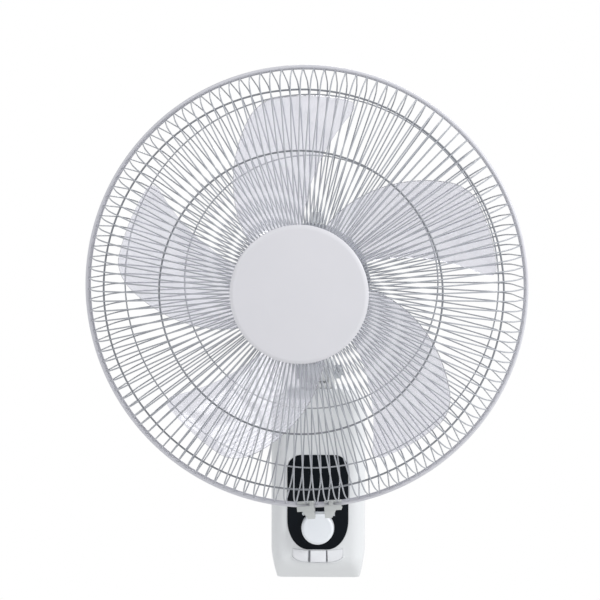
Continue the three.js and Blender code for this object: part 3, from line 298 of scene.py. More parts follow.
def slab(outline, back, front, edge=0.0, backEdge=0.0, steps=3):
    # an (x, z) outline with depth along Y; the front is nearer the viewer and its rim is rounded
    rings = []
    if backEdge:
        for k in range(steps):
            t = math.pi / 2 * k / steps
            rings.append((backEdge * (1 - math.sin(t)), back - backEdge * (1 - math.cos(t))))
    rings.append((0, back - backEdge))
    rings.append((0, front + edge))
    if edge:
        for k in range(1, steps + 1):
            t = math.pi / 2 * k / steps
            rings.append((edge * (1 - math.cos(t)), front + edge * (1 - math.sin(t))))
    return skinned([[(x, y, z) for x, z in grown(outline, -inset)] for inset, y in rings])


def mirrored(points):
    return points + [(-x, *rest) for x, *rest in reversed(points)]


def brick(x, y, z, edge):
    bm = slab([(x[0], z[0]), (x[1], z[0]), (x[1], z[1]), (x[0], z[1])], y[1], y[0])
    bmesh.ops.bevel(bm, geom=bm.edges[:], offset=edge, segments=2, affect="EDGES", profile=0.5)
    return bm


def moved(bm, matrix):
    bmesh.ops.transform(bm, verts=bm.verts, matrix=matrix)
    return bm


upright = Matrix.Rotation(math.pi / 2, 4, "X")       # a shape turned about Y stands on Z
sideways = Matrix.Rotation(-math.pi / 2, 4, "Z")     # and lies along X


def joined(*parts):
    whole = bmesh.new()
    for part in parts:
        mesh = bpy.data.meshes.new("part")
        part.to_mesh(mesh)
        part.free()
        whole.from_mesh(mesh)
        bpy.data.meshes.remove(mesh)
    return whole


def rawObject(name, bm, matrix=None):
    mesh = bpy.data.meshes.new(name)
    bm.to_mesh(mesh)
    bm.free()
    if matrix is not None:
        mesh.transform(matrix)
    piece = bpy.data.objects.new(name, mesh)
    bpy.context.scene.collection.objects.link(piece)
    return piece


def lathe(name, points, sides, steps=6, matrix=None):
    return rawObject(name, turned(softened(points, steps=steps), sides), matrix)


def settled(piece):
    # keeps what the modifiers make and drops them
    graph = bpy.context.evaluated_depsgraph_get()
    mesh = bpy.data.meshes.new_from_object(piece.evaluated_get(graph))
    old = piece.data
    piece.modifiers.clear()
    piece.data = mesh
    bpy.data.meshes.remove(old)
    return piece


def carve(piece, *cutters):
    for cutter in cutters:
        tool = rawObject("cutter", cutter)
        change = piece.modifiers.new("cut", "BOOLEAN")
        change.operation = "DIFFERENCE"
        change.solver = "EXACT"
        change.object = tool
        settled(piece)
        old = tool.data
        bpy.data.objects.remove(tool)
        bpy.data.meshes.remove(old)
    return piece


def startTree(name, **kinds):
    # an empty tree with geometry in and out, and its named inputs by kind
    tree = bpy.data.node_groups.new(name, "GeometryNodeTree")
    make = tree.interface.new_socket
    make("Geometry", in_out="INPUT", socket_type="NodeSocketGeometry")
    for kind, names in kinds.items():
        for label in names:
            make(label, in_out="INPUT", socket_type=f"NodeSocket{kind}")
    make("Geometry", in_out="OUTPUT", socket_type="NodeSocketGeometry")
    return tree, addNode(tree, "NodeGroupInput").outputs


def repeated(tree, shape, count, sense=1):
    # copies of a shape, turned about Y by equal steps
    spots = addNode(tree, "GeometryNodePoints", {"Count": count})
    order = addNode(tree, "GeometryNodeInputIndex")
    step = addNode(tree, "ShaderNodeMath", {0: sense * math.tau, 1: count}, operation="DIVIDE")
    angle = addNode(tree, "ShaderNodeMath", {0: order, 1: step}, operation="MULTIPLY")
    spin = addNode(tree, "ShaderNodeCombineXYZ", {"Y": angle})
    copies = addNode(tree, "GeometryNodeInstanceOnPoints", {"Points": spots, "Instance": shape,
                                                            "Rotation": spin})
    return copies


def tagged(piece, tree, **values):
    # a node tree as modifier, its named inputs set before it is first worked out
    change = piece.modifiers.new(tree.name, "NODES")
    change.node_group = tree
    for item in tree.interface.items_tree:
        if item.item_type == "SOCKET" and item.in_out == "INPUT" and item.name in values:
            change[item.identifier] = values[item.name]
    return settled(piece)


def mount(piece, place, body, paint, slot, *stands, sharp=40):
    # last step for every piece: into the row frame, in metres, on its body
    piece.data.transform(Matrix.Scale(mm, 4) @ place)
    if paint is not None:
        piece.data.materials.clear()
        piece.data.materials.append(paint)
    piece.data.polygons.foreach_set("use_smooth", [True] * len(piece.data.polygons))
    piece.data.set_sharp_from_angle(angle=math.radians(sharp))
    piece.data.update()
    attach(piece, body)
    if stands:
        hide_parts(*stands)
    return piece


# housing on the wall

housing = {"half": 51.2, "bottom": -105, "top": 104, "front": 92, "lean": 10, "leanFrom": 40,
           "corner": 17, "footCorner": 8, "taper": 33, "narrow": 6, "recede": 22, "recedeFrom": 0.2,
           "shoulder": 30, "shoulderIn": 24, "wall": 2.5, "split": 36, "seam": 0.3,
           "capEdge": 3.2, "footEdge": 0.8, "cut": 20}
rear = {"off": 0.6, "edge": 1.4, "floor": 4.8, "plate": (32, 54, 8), "plateDeep": 2.3, "bushHole": 6.6,
        "screws": ((-38, -62), (38, -62)), "screwHole": 4.4, "screwDeep": 3.2, "cut": 60}
panel = {"half": 33.2, "top": 30.9, "bottom": -72, "topCorner": 15.5, "bottomCorner": (23, 32),
         "thick": 2.4, "proud": 0.9, "edge": 0.4, "gap": 0.12}
knob = {"z": -48, "radius": 17.9, "thick": 13, "lift": 0.6, "stem": 4.5, "bore": 3.3, "boreEnd": 4,
        "draft": 0.6, "dome": 0.5}
keys = {"half": 27.1, "top": -73, "bottom": -85.5, "endDrop": 5, "rise": 2, "flat": 0.3, "columns": 22,
        "spacers": (2.3, 1.5), "gap": 0.16, "proud": 1.6, "depth": 11, "edge": 0.45, "collar": 0.2,
        "lipOut": 1.3, "lipRadius": 1.0}


def housingAt(height):
    low = max(0, (housing["bottom"] + housing["taper"] - height) / housing["taper"])
    recede = max(0, (low - housing["recedeFrom"]) / (1 - housing["recedeFrom"]))
    high = min(1, max(0, (height - housing["top"] + housing["shoulder"]) / housing["shoulder"]))
    lean = max(0, (height - housing["leanFrom"]) / (housing["top"] - housing["leanFrom"]))
    half = (housing["half"] - housing["narrow"] * low ** 1.3
            - housing["shoulderIn"] * (1 - math.sqrt(1 - high ** 2)))
    front = -(housing["front"] - housing["recede"] * recede ** 2 + housing["lean"] * lean ** 2)
    return half, front


def housingLevels():
    # (height, inset): close rows where the skin bends, and rounded top and bottom rims
    foot, cap = housing["footEdge"], housing["capEdge"]
    low, high = housing["bottom"], housing["top"]
    levels = [(low + foot * (1 - math.sin(t)), foot * (1 - math.cos(t)))
              for t in (math.pi / 2 * (1 - k / 4) for k in range(4))]
    straight = [low + foot + (housing["taper"] - foot) * k / 18 for k in range(19)]
    straight += [low + housing["taper"] + 24 * k for k in (1, 2, 3)]
    straight += [housing["leanFrom"] + (high - housing["shoulder"] - housing["leanFrom"]) * k / 6
                 for k in range(7)]
    shoulder = housing["shoulder"] - cap
    straight += [high - housing["shoulder"] + shoulder * math.sin(math.pi / 2 * k / 14)
                 for k in range(1, 15)]
    levels += [(z, 0) for z in straight]
    levels += [(high - cap * (1 - math.sin(t)), cap * (1 - math.cos(t)))
               for t in (math.pi / 2 * k / 5 for k in range(1, 6))]
    return levels


def housingRow(height, inset, back):
    half, front = housingAt(height)
    half -= inset
    front += inset
    low = max(0, (housing["bottom"] + housing["taper"] - height) / housing["taper"])
    corner = housing["corner"] + (housing["footCorner"] - housing["corner"]) * low ** 1.5 - inset
    row = [(-half, back, height), (-half, (back + front + corner) / 2, height)]
    for side in (-1, 1):
        for k in range(11):
            a = math.pi / 2 * (k / 10 if side < 0 else 1 - k / 10)
            row.append((side * (half - corner + corner * math.cos(a)),
                        front + corner - corner * math.sin(a), height))
        if side < 0:
            row += [(x * (half - corner), front, height) for x in (-0.5, 0, 0.5)]
    row += [(half, (back + front + corner) / 2, height), (half, back, height)]
    return row


def panelOutline(inset):
    # round corners above, long elliptic ones below
    half, low, high = panel["half"] - inset, panel["bottom"] + inset, panel["top"] - inset
    wide, tall = (size - inset for size in panel["bottomCorner"])
    top = panel["topCorner"] - inset
    right = []
    for k in range(17):
        a = math.pi / 2 * k / 16
        right.append((half - wide + wide * math.sin(a), low + tall - tall * math.cos(a)))
    for k in range(13):
        a = math.pi / 2 * k / 12
        right.append((half - top + top * math.cos(a), high - top + top * math.sin(a)))
    return mirrored(right)


def keyOutline(low, high, gap):
    # part of the key row between two x positions: level above, curved up below at the row's ends
    half = keys["half"] - gap

    def above(x):
        return keys["top"] - gap + keys["rise"] * (x / half) ** 2

    def below(x):
        run = max(0, (abs(x / half) - keys["flat"]) / (1 - keys["flat"]))
        tall = keys["top"] - keys["bottom"] - keys["endDrop"]
        return keys["bottom"] + gap + tall * (1 - math.sqrt(max(0, 1 - run ** 2)))

    count = keys["columns"]
    spots = [low + (high - low) * 0.5 * (1 - math.cos(math.pi * k / count)) for k in range(count + 1)]
    return [(x, below(x)) for x in spots] + [(x, above(x)) for x in reversed(spots)]


def frontShell():
    back = -housing["split"] - housing["seam"]
    rows = [housingRow(z, inset, back) for z, inset in housingLevels()]
    bm = bmesh.new()
    made = [[bm.verts.new(p) for p in row] for row in rows]
    for low, high in zip(made, made[1:]):
        for i in range(len(low) - 1):
            bm.faces.new((low[i], low[i + 1], high[i + 1], high[i]))
    bm.faces.new(made[0])
    bm.faces.new(made[-1])
    bmesh.ops.recalc_face_normals(bm, faces=bm.faces)
    shell = rawObject("front_shell", bm)
    if sum(p.normal.y * p.area for p in shell.data.polygons) > 0:
        shell.data.flip_normals()
    thick = shell.modifiers.new("wall", "SOLIDIFY")
    thick.thickness = housing["wall"]
    thick.offset = -1
    settled(shell)
    face, far = -housing["front"], housing["cut"]
    floor = face + panel["thick"] - panel["proud"] + panel["gap"]
    recess = slab(panelOutline(0), floor, face - far)
    knobHole = slab([(knob["stem"] * c, knob["z"] + knob["stem"] * s) for c, s in around(32)],
                    face + far, face - far)
    slot = slab(keyOutline(-keys["half"], keys["half"], 0), face + far, face - far)
    return carve(shell, recess, knobHole, slot)


shell = mount(frontShell(), wallFrame, "wall_body", whiteAbs, "white_plastic", "front_housing", sharp=28)
print("front housing:", len(shell.data.polygons), "faces")


def rearShell():
    levels = housingLevels()
    outline = mirrored([(housingAt(z)[0] - inset, z) for z, inset in levels])
    body = rawObject("rear_shell", slab(outline, -rear["off"], -housing["split"], backEdge=rear["edge"]))
    wall = housing["wall"]
    low, high = housing["bottom"] + wall, housing["top"] - wall
    inside = [(housingAt(z)[0] - wall, z) for z, inset in levels if low < z < high]
    inside = [(inside[0][0], low)] + inside + [(inside[-1][0] - 1, high)]
    pocket = slab(mirrored(inside), -rear["floor"], -rear["cut"])
    half, tall, corner = rear["plate"]
    plate = softened(mirrored([(half, -tall, corner), (half, tall, corner)]), closed=True, steps=10)
    recess = slab(plate, 3, -rear["plateDeep"])
    bush = moved(drill(rear["bushHole"], -16, 16),
                 Matrix.Translation((0, -housing["split"] / 2, housing["bottom"])) @ upright)
    screws = [moved(drill(rear["screwHole"], -rear["screwDeep"], 5), Matrix.Translation((x, 0, z)))
              for x, z in rear["screws"]]
    return carve(body, pocket, recess, bush, *screws)


mount(rearShell(), wallFrame, "wall_body", whiteAbs, "white_plastic", "rear_housing", sharp=28)
print("rear housing made")


def panelPlate():
    back = -housing["front"] + panel["thick"] - panel["proud"]
    plate = rawObject("panel_plate", slab(panelOutline(panel["gap"]), back, back - panel["thick"],
                                          edge=panel["edge"]))
    hole = drill(knob["stem"], back - 9.5, back + 10.5)
    return carve(plate, moved(hole, Matrix.Translation((0, 0, knob["z"]))))


mount(panelPlate(), wallFrame, "wall_body", panelGloss, "panel_plastic", "control_panel", sharp=32)


def knobCap():
    back = -housing["front"] - panel["proud"] - knob["lift"]
    front = back - knob["thick"]
    radius, end = knob["radius"], front + knob["boreEnd"]
    profile = [(knob["bore"], back), (radius - 0.3, back, 0.5), (radius, back - 1.2, 0.5),
               (radius - knob["draft"], front + 2.6, 2.4), (radius - 2.4, front, 2.2),
               (radius - 5, front + 0.1, 3), (0, front - knob["dome"]), (0, end), (knob["bore"], end)]
    return lathe("knob_cap", profile, 128, matrix=Matrix.Translation((0, 0, knob["z"])))


# the knob's paint carries painted light that offsets the guard's shadow
mount(knobCap(), wallFrame, "knob_body", knobLitAbs, "grey_plastic", "control_knob")


def keySpans():
    # (low, high) of the three keys, and of the two bars between them
    left, right = keys["spacers"]
    width = (2 * keys["half"] - left - right) / 3
    spans, x = [], -keys["half"]
    for size in (width, left, width, right, width):
        spans.append((x, x + size))
        x += size
    return spans[0::2], spans[1::2]


def pushKeys():
    front = -housing["front"] - keys["proud"]
    back = front + keys["depth"]
    ends = [(keys["gap"], 0), (0, 0), (0, -keys["gap"])]
    for number, (low, high), (left, right) in zip((1, 2, 3), keySpans()[0], ends):
        outline = keyOutline(low + left, high + right, keys["gap"])
        collar = slab(grown(outline, keys["collar"]), back, front + keys["proud"] + 1)
        cap = joined(slab(outline, back - 0.5, front, edge=keys["edge"]), collar)
        mount(rawObject(f"key_cap_{number}", cap), wallFrame, f"key_body_{number}", keyAbs,
              "grey_plastic", f"speed_key_{number}", sharp=32)


pushKeys()


def keyBars():
    # two thin bars stand between the keys, a little below the face, in painted shade
    face = -housing["front"]
    tall = (keys["bottom"] + 0.1, keys["top"] + 0.1)
    bars = [brick((low + 0.15, high - 0.15), (face + 0.7, face + 6), tall, 0.15)
            for low, high in keySpans()[1]]
    return rawObject("key_bars", joined(*bars))


# the bars are painted dark grey as the shade between the keys
mount(keyBars(), wallFrame, "wall_body", shadowAbs, "white_plastic", sharp=32)
print("controls made")


def sweptBead(path, thick, sides=10):
    # a round bead along an open path of 3D points, with closed ends
    rings = []
    for i, point in enumerate(path):
        here = Vector(point)
        along = (Vector(path[min(i + 1, len(path) - 1)]) - Vector(path[max(i - 1, 0)])).normalized()
        across = along.cross(Vector((0, 1, 0))).normalized()
        up = across.cross(along)
        size = thick * (0.35 if i in (0, len(path) - 1) else 1)
        rings.append([tuple(here + (across * c + up * s) * size) for c, s in around(sides)])
    return skinned(rings)


def keyLip():
    # the raised lip that runs below the keys and catches the light
    outline = grown(keyOutline(-keys["half"], keys["half"], 0), keys["lipOut"])
    path = [(x, housingAt(z)[1] + 0.1, z) for x, z in outline[:keys["columns"] + 1]]
    return rawObject("key_row_lip", sweptBead(path, keys["lipRadius"]))


mount(keyLip(), wallFrame, "wall_body", whiteAbs, "white_plastic", sharp=60)

# guards

# each cage's line is (radius, distance ahead of the rim plane, bend)
guard = {"wires": 128, "wireRadius": 0.72, "wireSides": 6, "rim": 222.2, "rimRod": 1.95, "rimAhead": 2.35,
         "nest": 0.8, "hubRod": 1.5, "weld": 0.3}
# the front cage's rim paint is painted light, the rear cage's rim paint painted shade, and the front ring
# paint painted shade
frontCage = {"line": [(60.6, 63.4), (139, 55.6, 60), (207.5, 31.5, 21), (219, 2.35)],
             "rings": (198.1, 138.8), "hub": 59.8, "hubAhead": 63.4, "rimPaint": rimLitCoat,
             "ringPaint": ringShadeCoat, "ringRod": 0.95}
rearCage = {"line": [(56.6, -71), (203, -62.5, 26), (218.2, -2.35)],
            "rings": (193.3, 131.4), "hub": 55.8, "hubAhead": -71, "rimPaint": rearRimShadeCoat,
            "ringPaint": rearRingCoat, "ringRod": 0.75}


def cageTree():
    tree, given = startTree("wire_cage", Int=("Wire Count", "Wire Sides"),
                            Float=("Wire Radius", "Rim Radius", "Rim Rod", "Rim Ahead", "Hub Radius",
                                   "Hub Rod", "Hub Ahead"),
                            Material=("Wire Paint", "Rim Paint"))

    def rod(curve, sides, radius, paint, capped=False):
        section = addNode(tree, "GeometryNodeCurvePrimitiveCircle", {"Resolution": sides,
                                                                     "Radius": radius})
        skin = addNode(tree, "GeometryNodeCurveToMesh", {
            "Curve": curve, "Profile Curve": section, "Fill Caps": capped})
        return addNode(tree, "GeometryNodeSetMaterial", {"Geometry": skin, "Material": paint})

    # one wire, the object's own line given a round section, goes round the axis
    line = addNode(tree, "GeometryNodeMeshToCurve", {"Mesh": given["Geometry"]})
    wire = rod(line, given["Wire Sides"], given["Wire Radius"], given["Wire Paint"], True)
    parts = [repeated(tree, wire, given["Wire Count"])]
    # the rim ring and the hub ring that the wires end on, both in the rim paint with its painted light or
    # painted shade
    for end in ("Rim", "Hub"):
        thick = given[f"{end} Rod"]
        middle = addNode(tree, "ShaderNodeMath", {0: given[f"{end} Radius"], 1: thick},
                         operation="SUBTRACT")
        loop = addNode(tree, "GeometryNodeCurvePrimitiveCircle", {"Resolution": 256, "Radius": middle})
        shift = addNode(tree, "ShaderNodeCombineXYZ", {"Y": given[f"{end} Ahead"]})
        ring = addNode(tree, "GeometryNodeTransform", {
            "Geometry": rod(loop, 12, thick, given["Rim Paint"]),
            "Rotation": (math.pi / 2, 0, 0), "Translation": shift})
        parts.append(ring)
    together = addNode(tree, "GeometryNodeJoinGeometry")
    for part in reversed(parts):
        tree.links.new(part.outputs[0], together.inputs["Geometry"])
    real = addNode(tree, "GeometryNodeRealizeInstances", {"Geometry": together})
    addNode(tree, "NodeGroupOutput", {"Geometry": real})
    return tree


def lineObject(name, points):
    mesh = bpy.data.meshes.new(name)
    mesh.from_pydata(points, [(i, i + 1) for i in range(len(points) - 1)], [])
    piece = bpy.data.objects.new(name, mesh)
    bpy.context.scene.collection.objects.link(piece)
    return piece


cages = cageTree()


def wireCage(name, cage, side):
    # the first wire points down, and the rear rim nests inside the front one
    points = [(0, ahead(d), -r) for r, d in softened(cage["line"], steps=5)]
    rim = guard["rim"] - (guard["nest"] if side < 0 else 0)
    return tagged(lineObject(name, points), cages, **{
        "Wire Count": guard["wires"], "Wire Sides": guard["wireSides"], "Wire Radius": guard["wireRadius"],
        "Rim Radius": rim, "Rim Rod": guard["rimRod"], "Rim Ahead": ahead(side * guard["rimAhead"]),
        "Hub Radius": cage["hub"] + 2 * guard["hubRod"], "Hub Rod": guard["hubRod"],
        "Hub Ahead": ahead(cage["hubAhead"]), "Wire Paint": wireCoat, "Rim Paint": cage["rimPaint"]})


def supportRing(name, cage, side, radius):
    # welded on the inside of the wires
    line, rod = cage["line"], cage["ringRod"]
    index = max(i for i in range(len(line) - 1) if line[i][0] < radius)
    (r0, d0), (r1, d1) = line[index][:2], line[index + 1][:2]
    slope = (d1 - d0) / (r1 - r0)
    away = side * (guard["wireRadius"] + rod - guard["weld"]) / math.hypot(1, slope)
    middle = ahead(d0 + (radius - r0) * slope - away)
    section = [(radius + away * slope + rod * c, middle + rod * s) for c, s in around(10)]
    return rawObject(name, turned(section, 256))


for side, cage, tag in ((1, frontCage, "front"), (-1, rearCage, "rear")):
    wires = wireCage(f"{tag}_cage_wires", cage, side)
    mount(wires, guardFrame, "head_body", None, "coated_wire", f"{tag}_guard", sharp=70)
    for radius, spot in zip(cage["rings"], ("outer", "inner")):
        ring = supportRing(f"{tag}_{spot}_support", cage, side, radius)
        mount(ring, guardFrame, "head_body", cage["ringPaint"], "coated_wire",
              f"{tag}_guard_{spot}_ring", sharp=80)
    print(tag, "guard:", len(wires.data.polygons), "faces")

badge = {"radius": 67.7, "back": 65.0, "thick": 3.6, "crown": 1.4, "skirt": 56.5, "skirtDepth": 6.5,
         "skirtWall": 2}


def badgeDisc():
    back, front = ahead(badge["back"]), badge["back"] + badge["thick"]
    under = ahead(badge["back"] - badge["skirtDepth"])
    r, outer = badge["radius"], badge["skirt"]
    inner = outer - badge["skirtWall"]
    profile = [(0, ahead(front + badge["crown"])), (r * 0.5, ahead(front + badge["crown"] * 0.8), 60),
               (r - 3.2, ahead(front + 0.25), 6), (r, ahead(front - 1.0), 1.6), (r, back, 0.6),
               (outer, back, 0.4), (outer, under), (inner, under), (inner, back), (0, back)]
    return lathe("badge_disc", profile, 160)


mount(badgeDisc(), guardFrame, "head_body", greyAbs, "grey_plastic", "guard_badge", sharp=50)

clamp = {"gap": 5.1, "length": 17.4, "front": 8.3, "depth": 10, "edge": 0.45, "inner": (-218.2, -215.9),
         "innerBehind": 3.9, "outer": (-224.6, -222.5), "web": 4.4, "webAt": {-1: 5.2, 1: 10},
         "lip": (-224.7, -219.2), "lipAhead": 0.1, "lipThick": 1.6, "legTop": 12.2, "legFoot": 7.2,
         "leg": (-232.6, -224.1), "legEdge": 0.3, "legInset": (0.4, 0.3)}


def clampHalf(side):
    near, far, web = clamp["gap"], clamp["gap"] + clamp["length"], clamp["webAt"][side]
    front = ahead(clamp["front"])
    back = front + clamp["depth"]
    outer, inner = clamp["outer"], clamp["inner"]
    bars = [((near, far), (front + clamp["innerBehind"], back), inner),
            ((web, web + clamp["web"]), (front, front + clamp["web"]), (outer[0], inner[1])),
            ((near, far), (front, back), outer),
            ((near, far), (front - clamp["lipAhead"], front + clamp["lipThick"]), clamp["lip"])]
    blocks = [brick(sorted(side * x for x in xs), ys, zs, clamp["edge"]) for xs, ys, zs in bars]
    foot, top = clamp["leg"]
    leg = slab([(side * near, top), (side * (near + clamp["legTop"]), top),
                (side * (near + clamp["legFoot"]), foot), (side * near, foot)],
               back - clamp["legInset"][0], front + clamp["legInset"][1], edge=clamp["legEdge"])
    return rawObject("clamp_half", joined(*blocks, leg))


for side, tag in ((-1, "left"), (1, "right")):
    half = clampHalf(side)
    half.name = f"rim_clamp_{tag}"
    mount(half, clampFrame, "head_body", clampPp, "clamp_plastic", f"guard_clamp_{tag}", sharp=32)

rimScrew = {"reach": 16, "radius": 1.4, "head": 2.2, "headThick": 2, "short": 3, "behind": 4.6,
            "z": -227.4}


def clampScrew():
    # pan head on the left; the nut is caught inside the right half
    reach, r, head = rimScrew["reach"], rimScrew["radius"], rimScrew["head"]
    top, end = -reach - rimScrew["headThick"], reach - rimScrew["short"]
    profile = [(0, top), (head - 0.9, top, 0.8), (head, top + 1.1, 0.6), (head, -reach, 0.2),
               (r, -reach), (r, end), (0, end)]
    place = Matrix.Translation((0, ahead(clamp["front"] - rimScrew["behind"]), rimScrew["z"]))
    return lathe("rim_clamp_screw", profile, 32, 4, place @ sideways)


mount(clampScrew(), clampFrame, "head_body", zincSteel, "zinc_steel", "clamp_screw")
print("clamps made")

# impeller

impeller = {"blades": 5, "tip": 192.0, "root": 37.0, "front": -3.0, "rear": -35.0, "camber": 0.16,
            "start": -112.5, "trail": 48.0, "trailPower": 0.95, "lead": 25.5, "span": 30.0,
            "corner": 14.0, "thick": 1.9, "hub": 38.5, "hubAhead": -8, "skirt": 34, "boss": 11,
            "bossDepth": 44, "bore": 4.3}


def bladeTree():
    # its inputs have the names of the impeller's settings
    tree, given = startTree("blade_fan", Int=("blades",), Material=("paint", "edgePaint"),
                            Float=("root", "tip", "front", "rear", "camber", "start", "trail",
                                   "trailPower", "lead", "span", "corner"))
    grid = addNode(tree, "GeometryNodeMeshGrid", {"Size X": 1.0, "Size Y": 1.0, "Vertices X": 64,
                                                  "Vertices Y": 40})
    spot = addNode(tree, "GeometryNodeInputPosition")
    split = addNode(tree, "ShaderNodeSeparateXYZ", {"Vector": spot}).outputs
    known = {socket.name: socket for socket in list(given) + [split["X"], split["Y"]]}
    signs = {"+": "ADD", "-": "SUBTRACT", "*": "MULTIPLY", "/": "DIVIDE"}

    def solved(term):
        # a sum written as (sign, value, value), nested where it has to be
        if not isinstance(term, tuple):
            return known.get(term, term)
        inputs = {i: solved(value) for i, value in enumerate(term[1:])}
        return addNode(tree, "ShaderNodeMath", inputs, operation=signs.get(term[0], term[0]))

    for name, term in (
            # rows crowd towards the rounded tip
            ("chord", ("+", "Y", 0.5)), ("inward", ("POWER", ("-", 1.0, ("+", "X", 0.5)), 1.7)),
            ("radius", ("-", "tip", ("*", ("-", "tip", "root"), "inward"))),
            ("late", ("*", "trail", ("POWER", "inward", "trailPower"))),
            ("early", ("-", ("*", "lead", "inward"), "span")),
            ("half", ("*", ("-", "late", "early"), 0.5)),
            # a round corner at both ends of the tip takes this much off the half chord
            ("inner", ("MAXIMUM", ("-", "radius", ("-", "tip", "corner")), 0.0)),
            ("drop", ("-", ("*", "corner", "corner"), ("*", "inner", "inner"))),
            ("taken", ("-", "corner", ("SQRT", ("MAXIMUM", "drop", 0.0)))),
            ("shrink", ("-", 1.0, ("/", "taken", ("*", ("RADIANS", "half"), "radius")))),
            # denser columns at the two long edges
            ("eased", ("-", 0.5, ("*", ("COSINE", ("*", "chord", math.pi)), 0.5))),
            ("across", ("*", ("-", ("*", "eased", 2.0), 1.0), "shrink")),
            ("share", ("+", ("*", "across", 0.5), 0.5)),
            ("swept", ("+", ("*", ("+", "late", "early"), 0.5), ("*", "half", "across"))),
            ("angle", ("RADIANS", ("+", "start", "swept"))),
            # the camber bows the blade
            ("hollow", ("*", "camber", ("SINE", ("*", "share", math.pi)))),
            ("bow", ("*", "hollow", ("-", 1.0, "share"))),
            ("fall", ("*", ("-", "front", "rear"), ("-", "share", "bow")))):
        known[name] = solved(term)
    place = addNode(tree, "ShaderNodeCombineXYZ", {"X": solved(("*", "radius", ("COSINE", "angle"))),
        "Y": solved(("*", ("+", ("+", "rear", "fall"), stance["reach"]), -1.0)),
        "Z": solved(("*", "radius", ("SINE", "angle")))})
    shaped = addNode(tree, "GeometryNodeSetPosition", {"Geometry": grid, "Position": place})
    painted = addNode(tree, "GeometryNodeSetMaterial", {"Geometry": shaped, "Material": given["paint"]})
    # painted shade: the last strip of the chord along each blade's edge is painted dark
    edges = addNode(tree, "GeometryNodeSetMaterial", {
        "Geometry": painted, "Selection": solved(("GREATER_THAN", "chord", 0.92)),
        "Material": given["edgePaint"]})
    blades = repeated(tree, edges, given["blades"], -1)
    real = addNode(tree, "GeometryNodeRealizeInstances", {"Geometry": blades})
    addNode(tree, "NodeGroupOutput", {"Geometry": real})
    return tree


def bladeSet():
    blades = tagged(lineObject("fan_blades", [(0, 0, 0), (0, 1, 0)]), bladeTree(), **impeller,
                    paint=bladeResin, edgePaint=bladeEdgeShade)
    clean = bmesh.new()
    clean.from_mesh(blades.data)
    bmesh.ops.remove_doubles(clean, verts=clean.verts, dist=0.001)
    clean.to_mesh(blades.data)
    clean.free()
    thick = blades.modifiers.new("sheet", "SOLIDIFY")
    thick.thickness = impeller["thick"]
    thick.offset = 0
    return settled(blades)


def hubCup():
    front, r = ahead(impeller["hubAhead"]), impeller["hub"]
    rim, end = front + impeller["skirt"], front + impeller["bossDepth"]
    bore, boss = impeller["bore"], impeller["boss"]
    profile = [(bore, front), (r - 1, front, 4.5), (r, rim, 0.5), (r - 2.5, rim, 0.5),
               (r - 3.5, front + 3.2, 2), (boss, front + 3.2, 1), (boss, end, 0.4), (bore, end)]
    return lathe("fan_hub", profile, 96)


blades = bladeSet()
mount(blades, headFrame, "fan_body", None, "fan_resin", "impeller", sharp=50)
mount(hubCup(), headFrame, "fan_body", bladeResin, "fan_resin", sharp=45)
print("impeller:", len(blades.data.polygons), "faces")

# motor

motor = {"radius": 56, "face": -72.8, "split": -104, "back": -194, "backRadius": 26, "wall": 2.2,
         "seam": 0.3, "collar": 22.5, "collarAhead": 14.3, "shaftHole": 8.9, "neckHole": 31.6,
         "stemHole": 4, "screwHole": 2.3, "slots": 24, "slotHalf": 1.3, "slotSpan": (0.52, 0.80),
         "slotsFrom": 24, "slotsTo": 140}


def ribTree():
    tree, given = startTree("ribs_round", Int=("Count",), Material=("Paint",))
    ribs = repeated(tree, given["Geometry"], given["Count"])
    real = addNode(tree, "GeometryNodeRealizeInstances", {"Geometry": ribs})
    paint = addNode(tree, "GeometryNodeSetMaterial", {"Geometry": real, "Material": given["Paint"]})
    addNode(tree, "NodeGroupOutput", {"Geometry": paint})
    return tree


ribsRound = ribTree()


def ribbed(rib, count, paint):
    # copies of one shape all round the Y axis, as a bmesh
    piece = tagged(rawObject("ribs", rib), ribsRound, **{"Count": count, "Paint": paint})
    ribs = bmesh.new()
    ribs.from_mesh(piece.data)
    bpy.data.objects.remove(piece)
    return ribs


def frontCover():
    face, rim, r = ahead(motor["face"]), ahead(motor["split"]), motor["radius"]
    hole, collar, step = motor["shaftHole"], motor["collar"], face - motor["collarAhead"]
    profile = [(hole, step), (collar, step, 0.6), (collar, face, 0.6), (r - 8, face, 5),
               (r - 1, face + 9, 9), (r, rim), (r - motor["wall"], rim), (r - 4, face + 9, 6),
               (r - 11, face + 3, 4), (hole, face + 3)]
    return lathe("motor_front_shell", profile, 128)


def rearCover():
    rim, back = ahead(motor["split"]) + motor["seam"], ahead(motor["back"])
    r, wall, depth = motor["radius"], motor["wall"], back - rim

    def skin(inset):
        return [(r - inset, rim), (r - inset, rim + depth * 0.4, 60),
                (r * 0.93 - inset, rim + depth * 0.69, 40),
                (r * 0.75 - inset, rim + depth * 0.885 - inset, 16),
                (motor["backRadius"] - inset, rim + depth * 0.97 - inset, 8),
                (motor["screwHole"], back - inset)]

    shell = rawObject("motor_rear_shell", turned(softened(skin(0)) + softened(skin(wall))[::-1], 128))
    carve(shell, moved(drill(motor["neckHole"], -80, -40, 64), upright),
          moved(drill(motor["stemHole"], 32, 80), upright))
    # cooling slots round the dome, but none over the neck's opening or the clutch
    start, end = (rim + depth * share for share in motor["slotSpan"])
    half = motor["slotHalf"]
    slots = ribbed(brick((-half, half), (start, end), (30, 70), 0.6), motor["slots"], whiteAbs)
    turns = {v: abs(math.degrees(math.atan2(v.co.x, v.co.z))) for v in slots.verts}
    left = [v for v, a in turns.items() if a < motor["slotsFrom"] or a > motor["slotsTo"]]
    bmesh.ops.delete(slots, geom=left, context="VERTS")
    return carve(shell, slots)


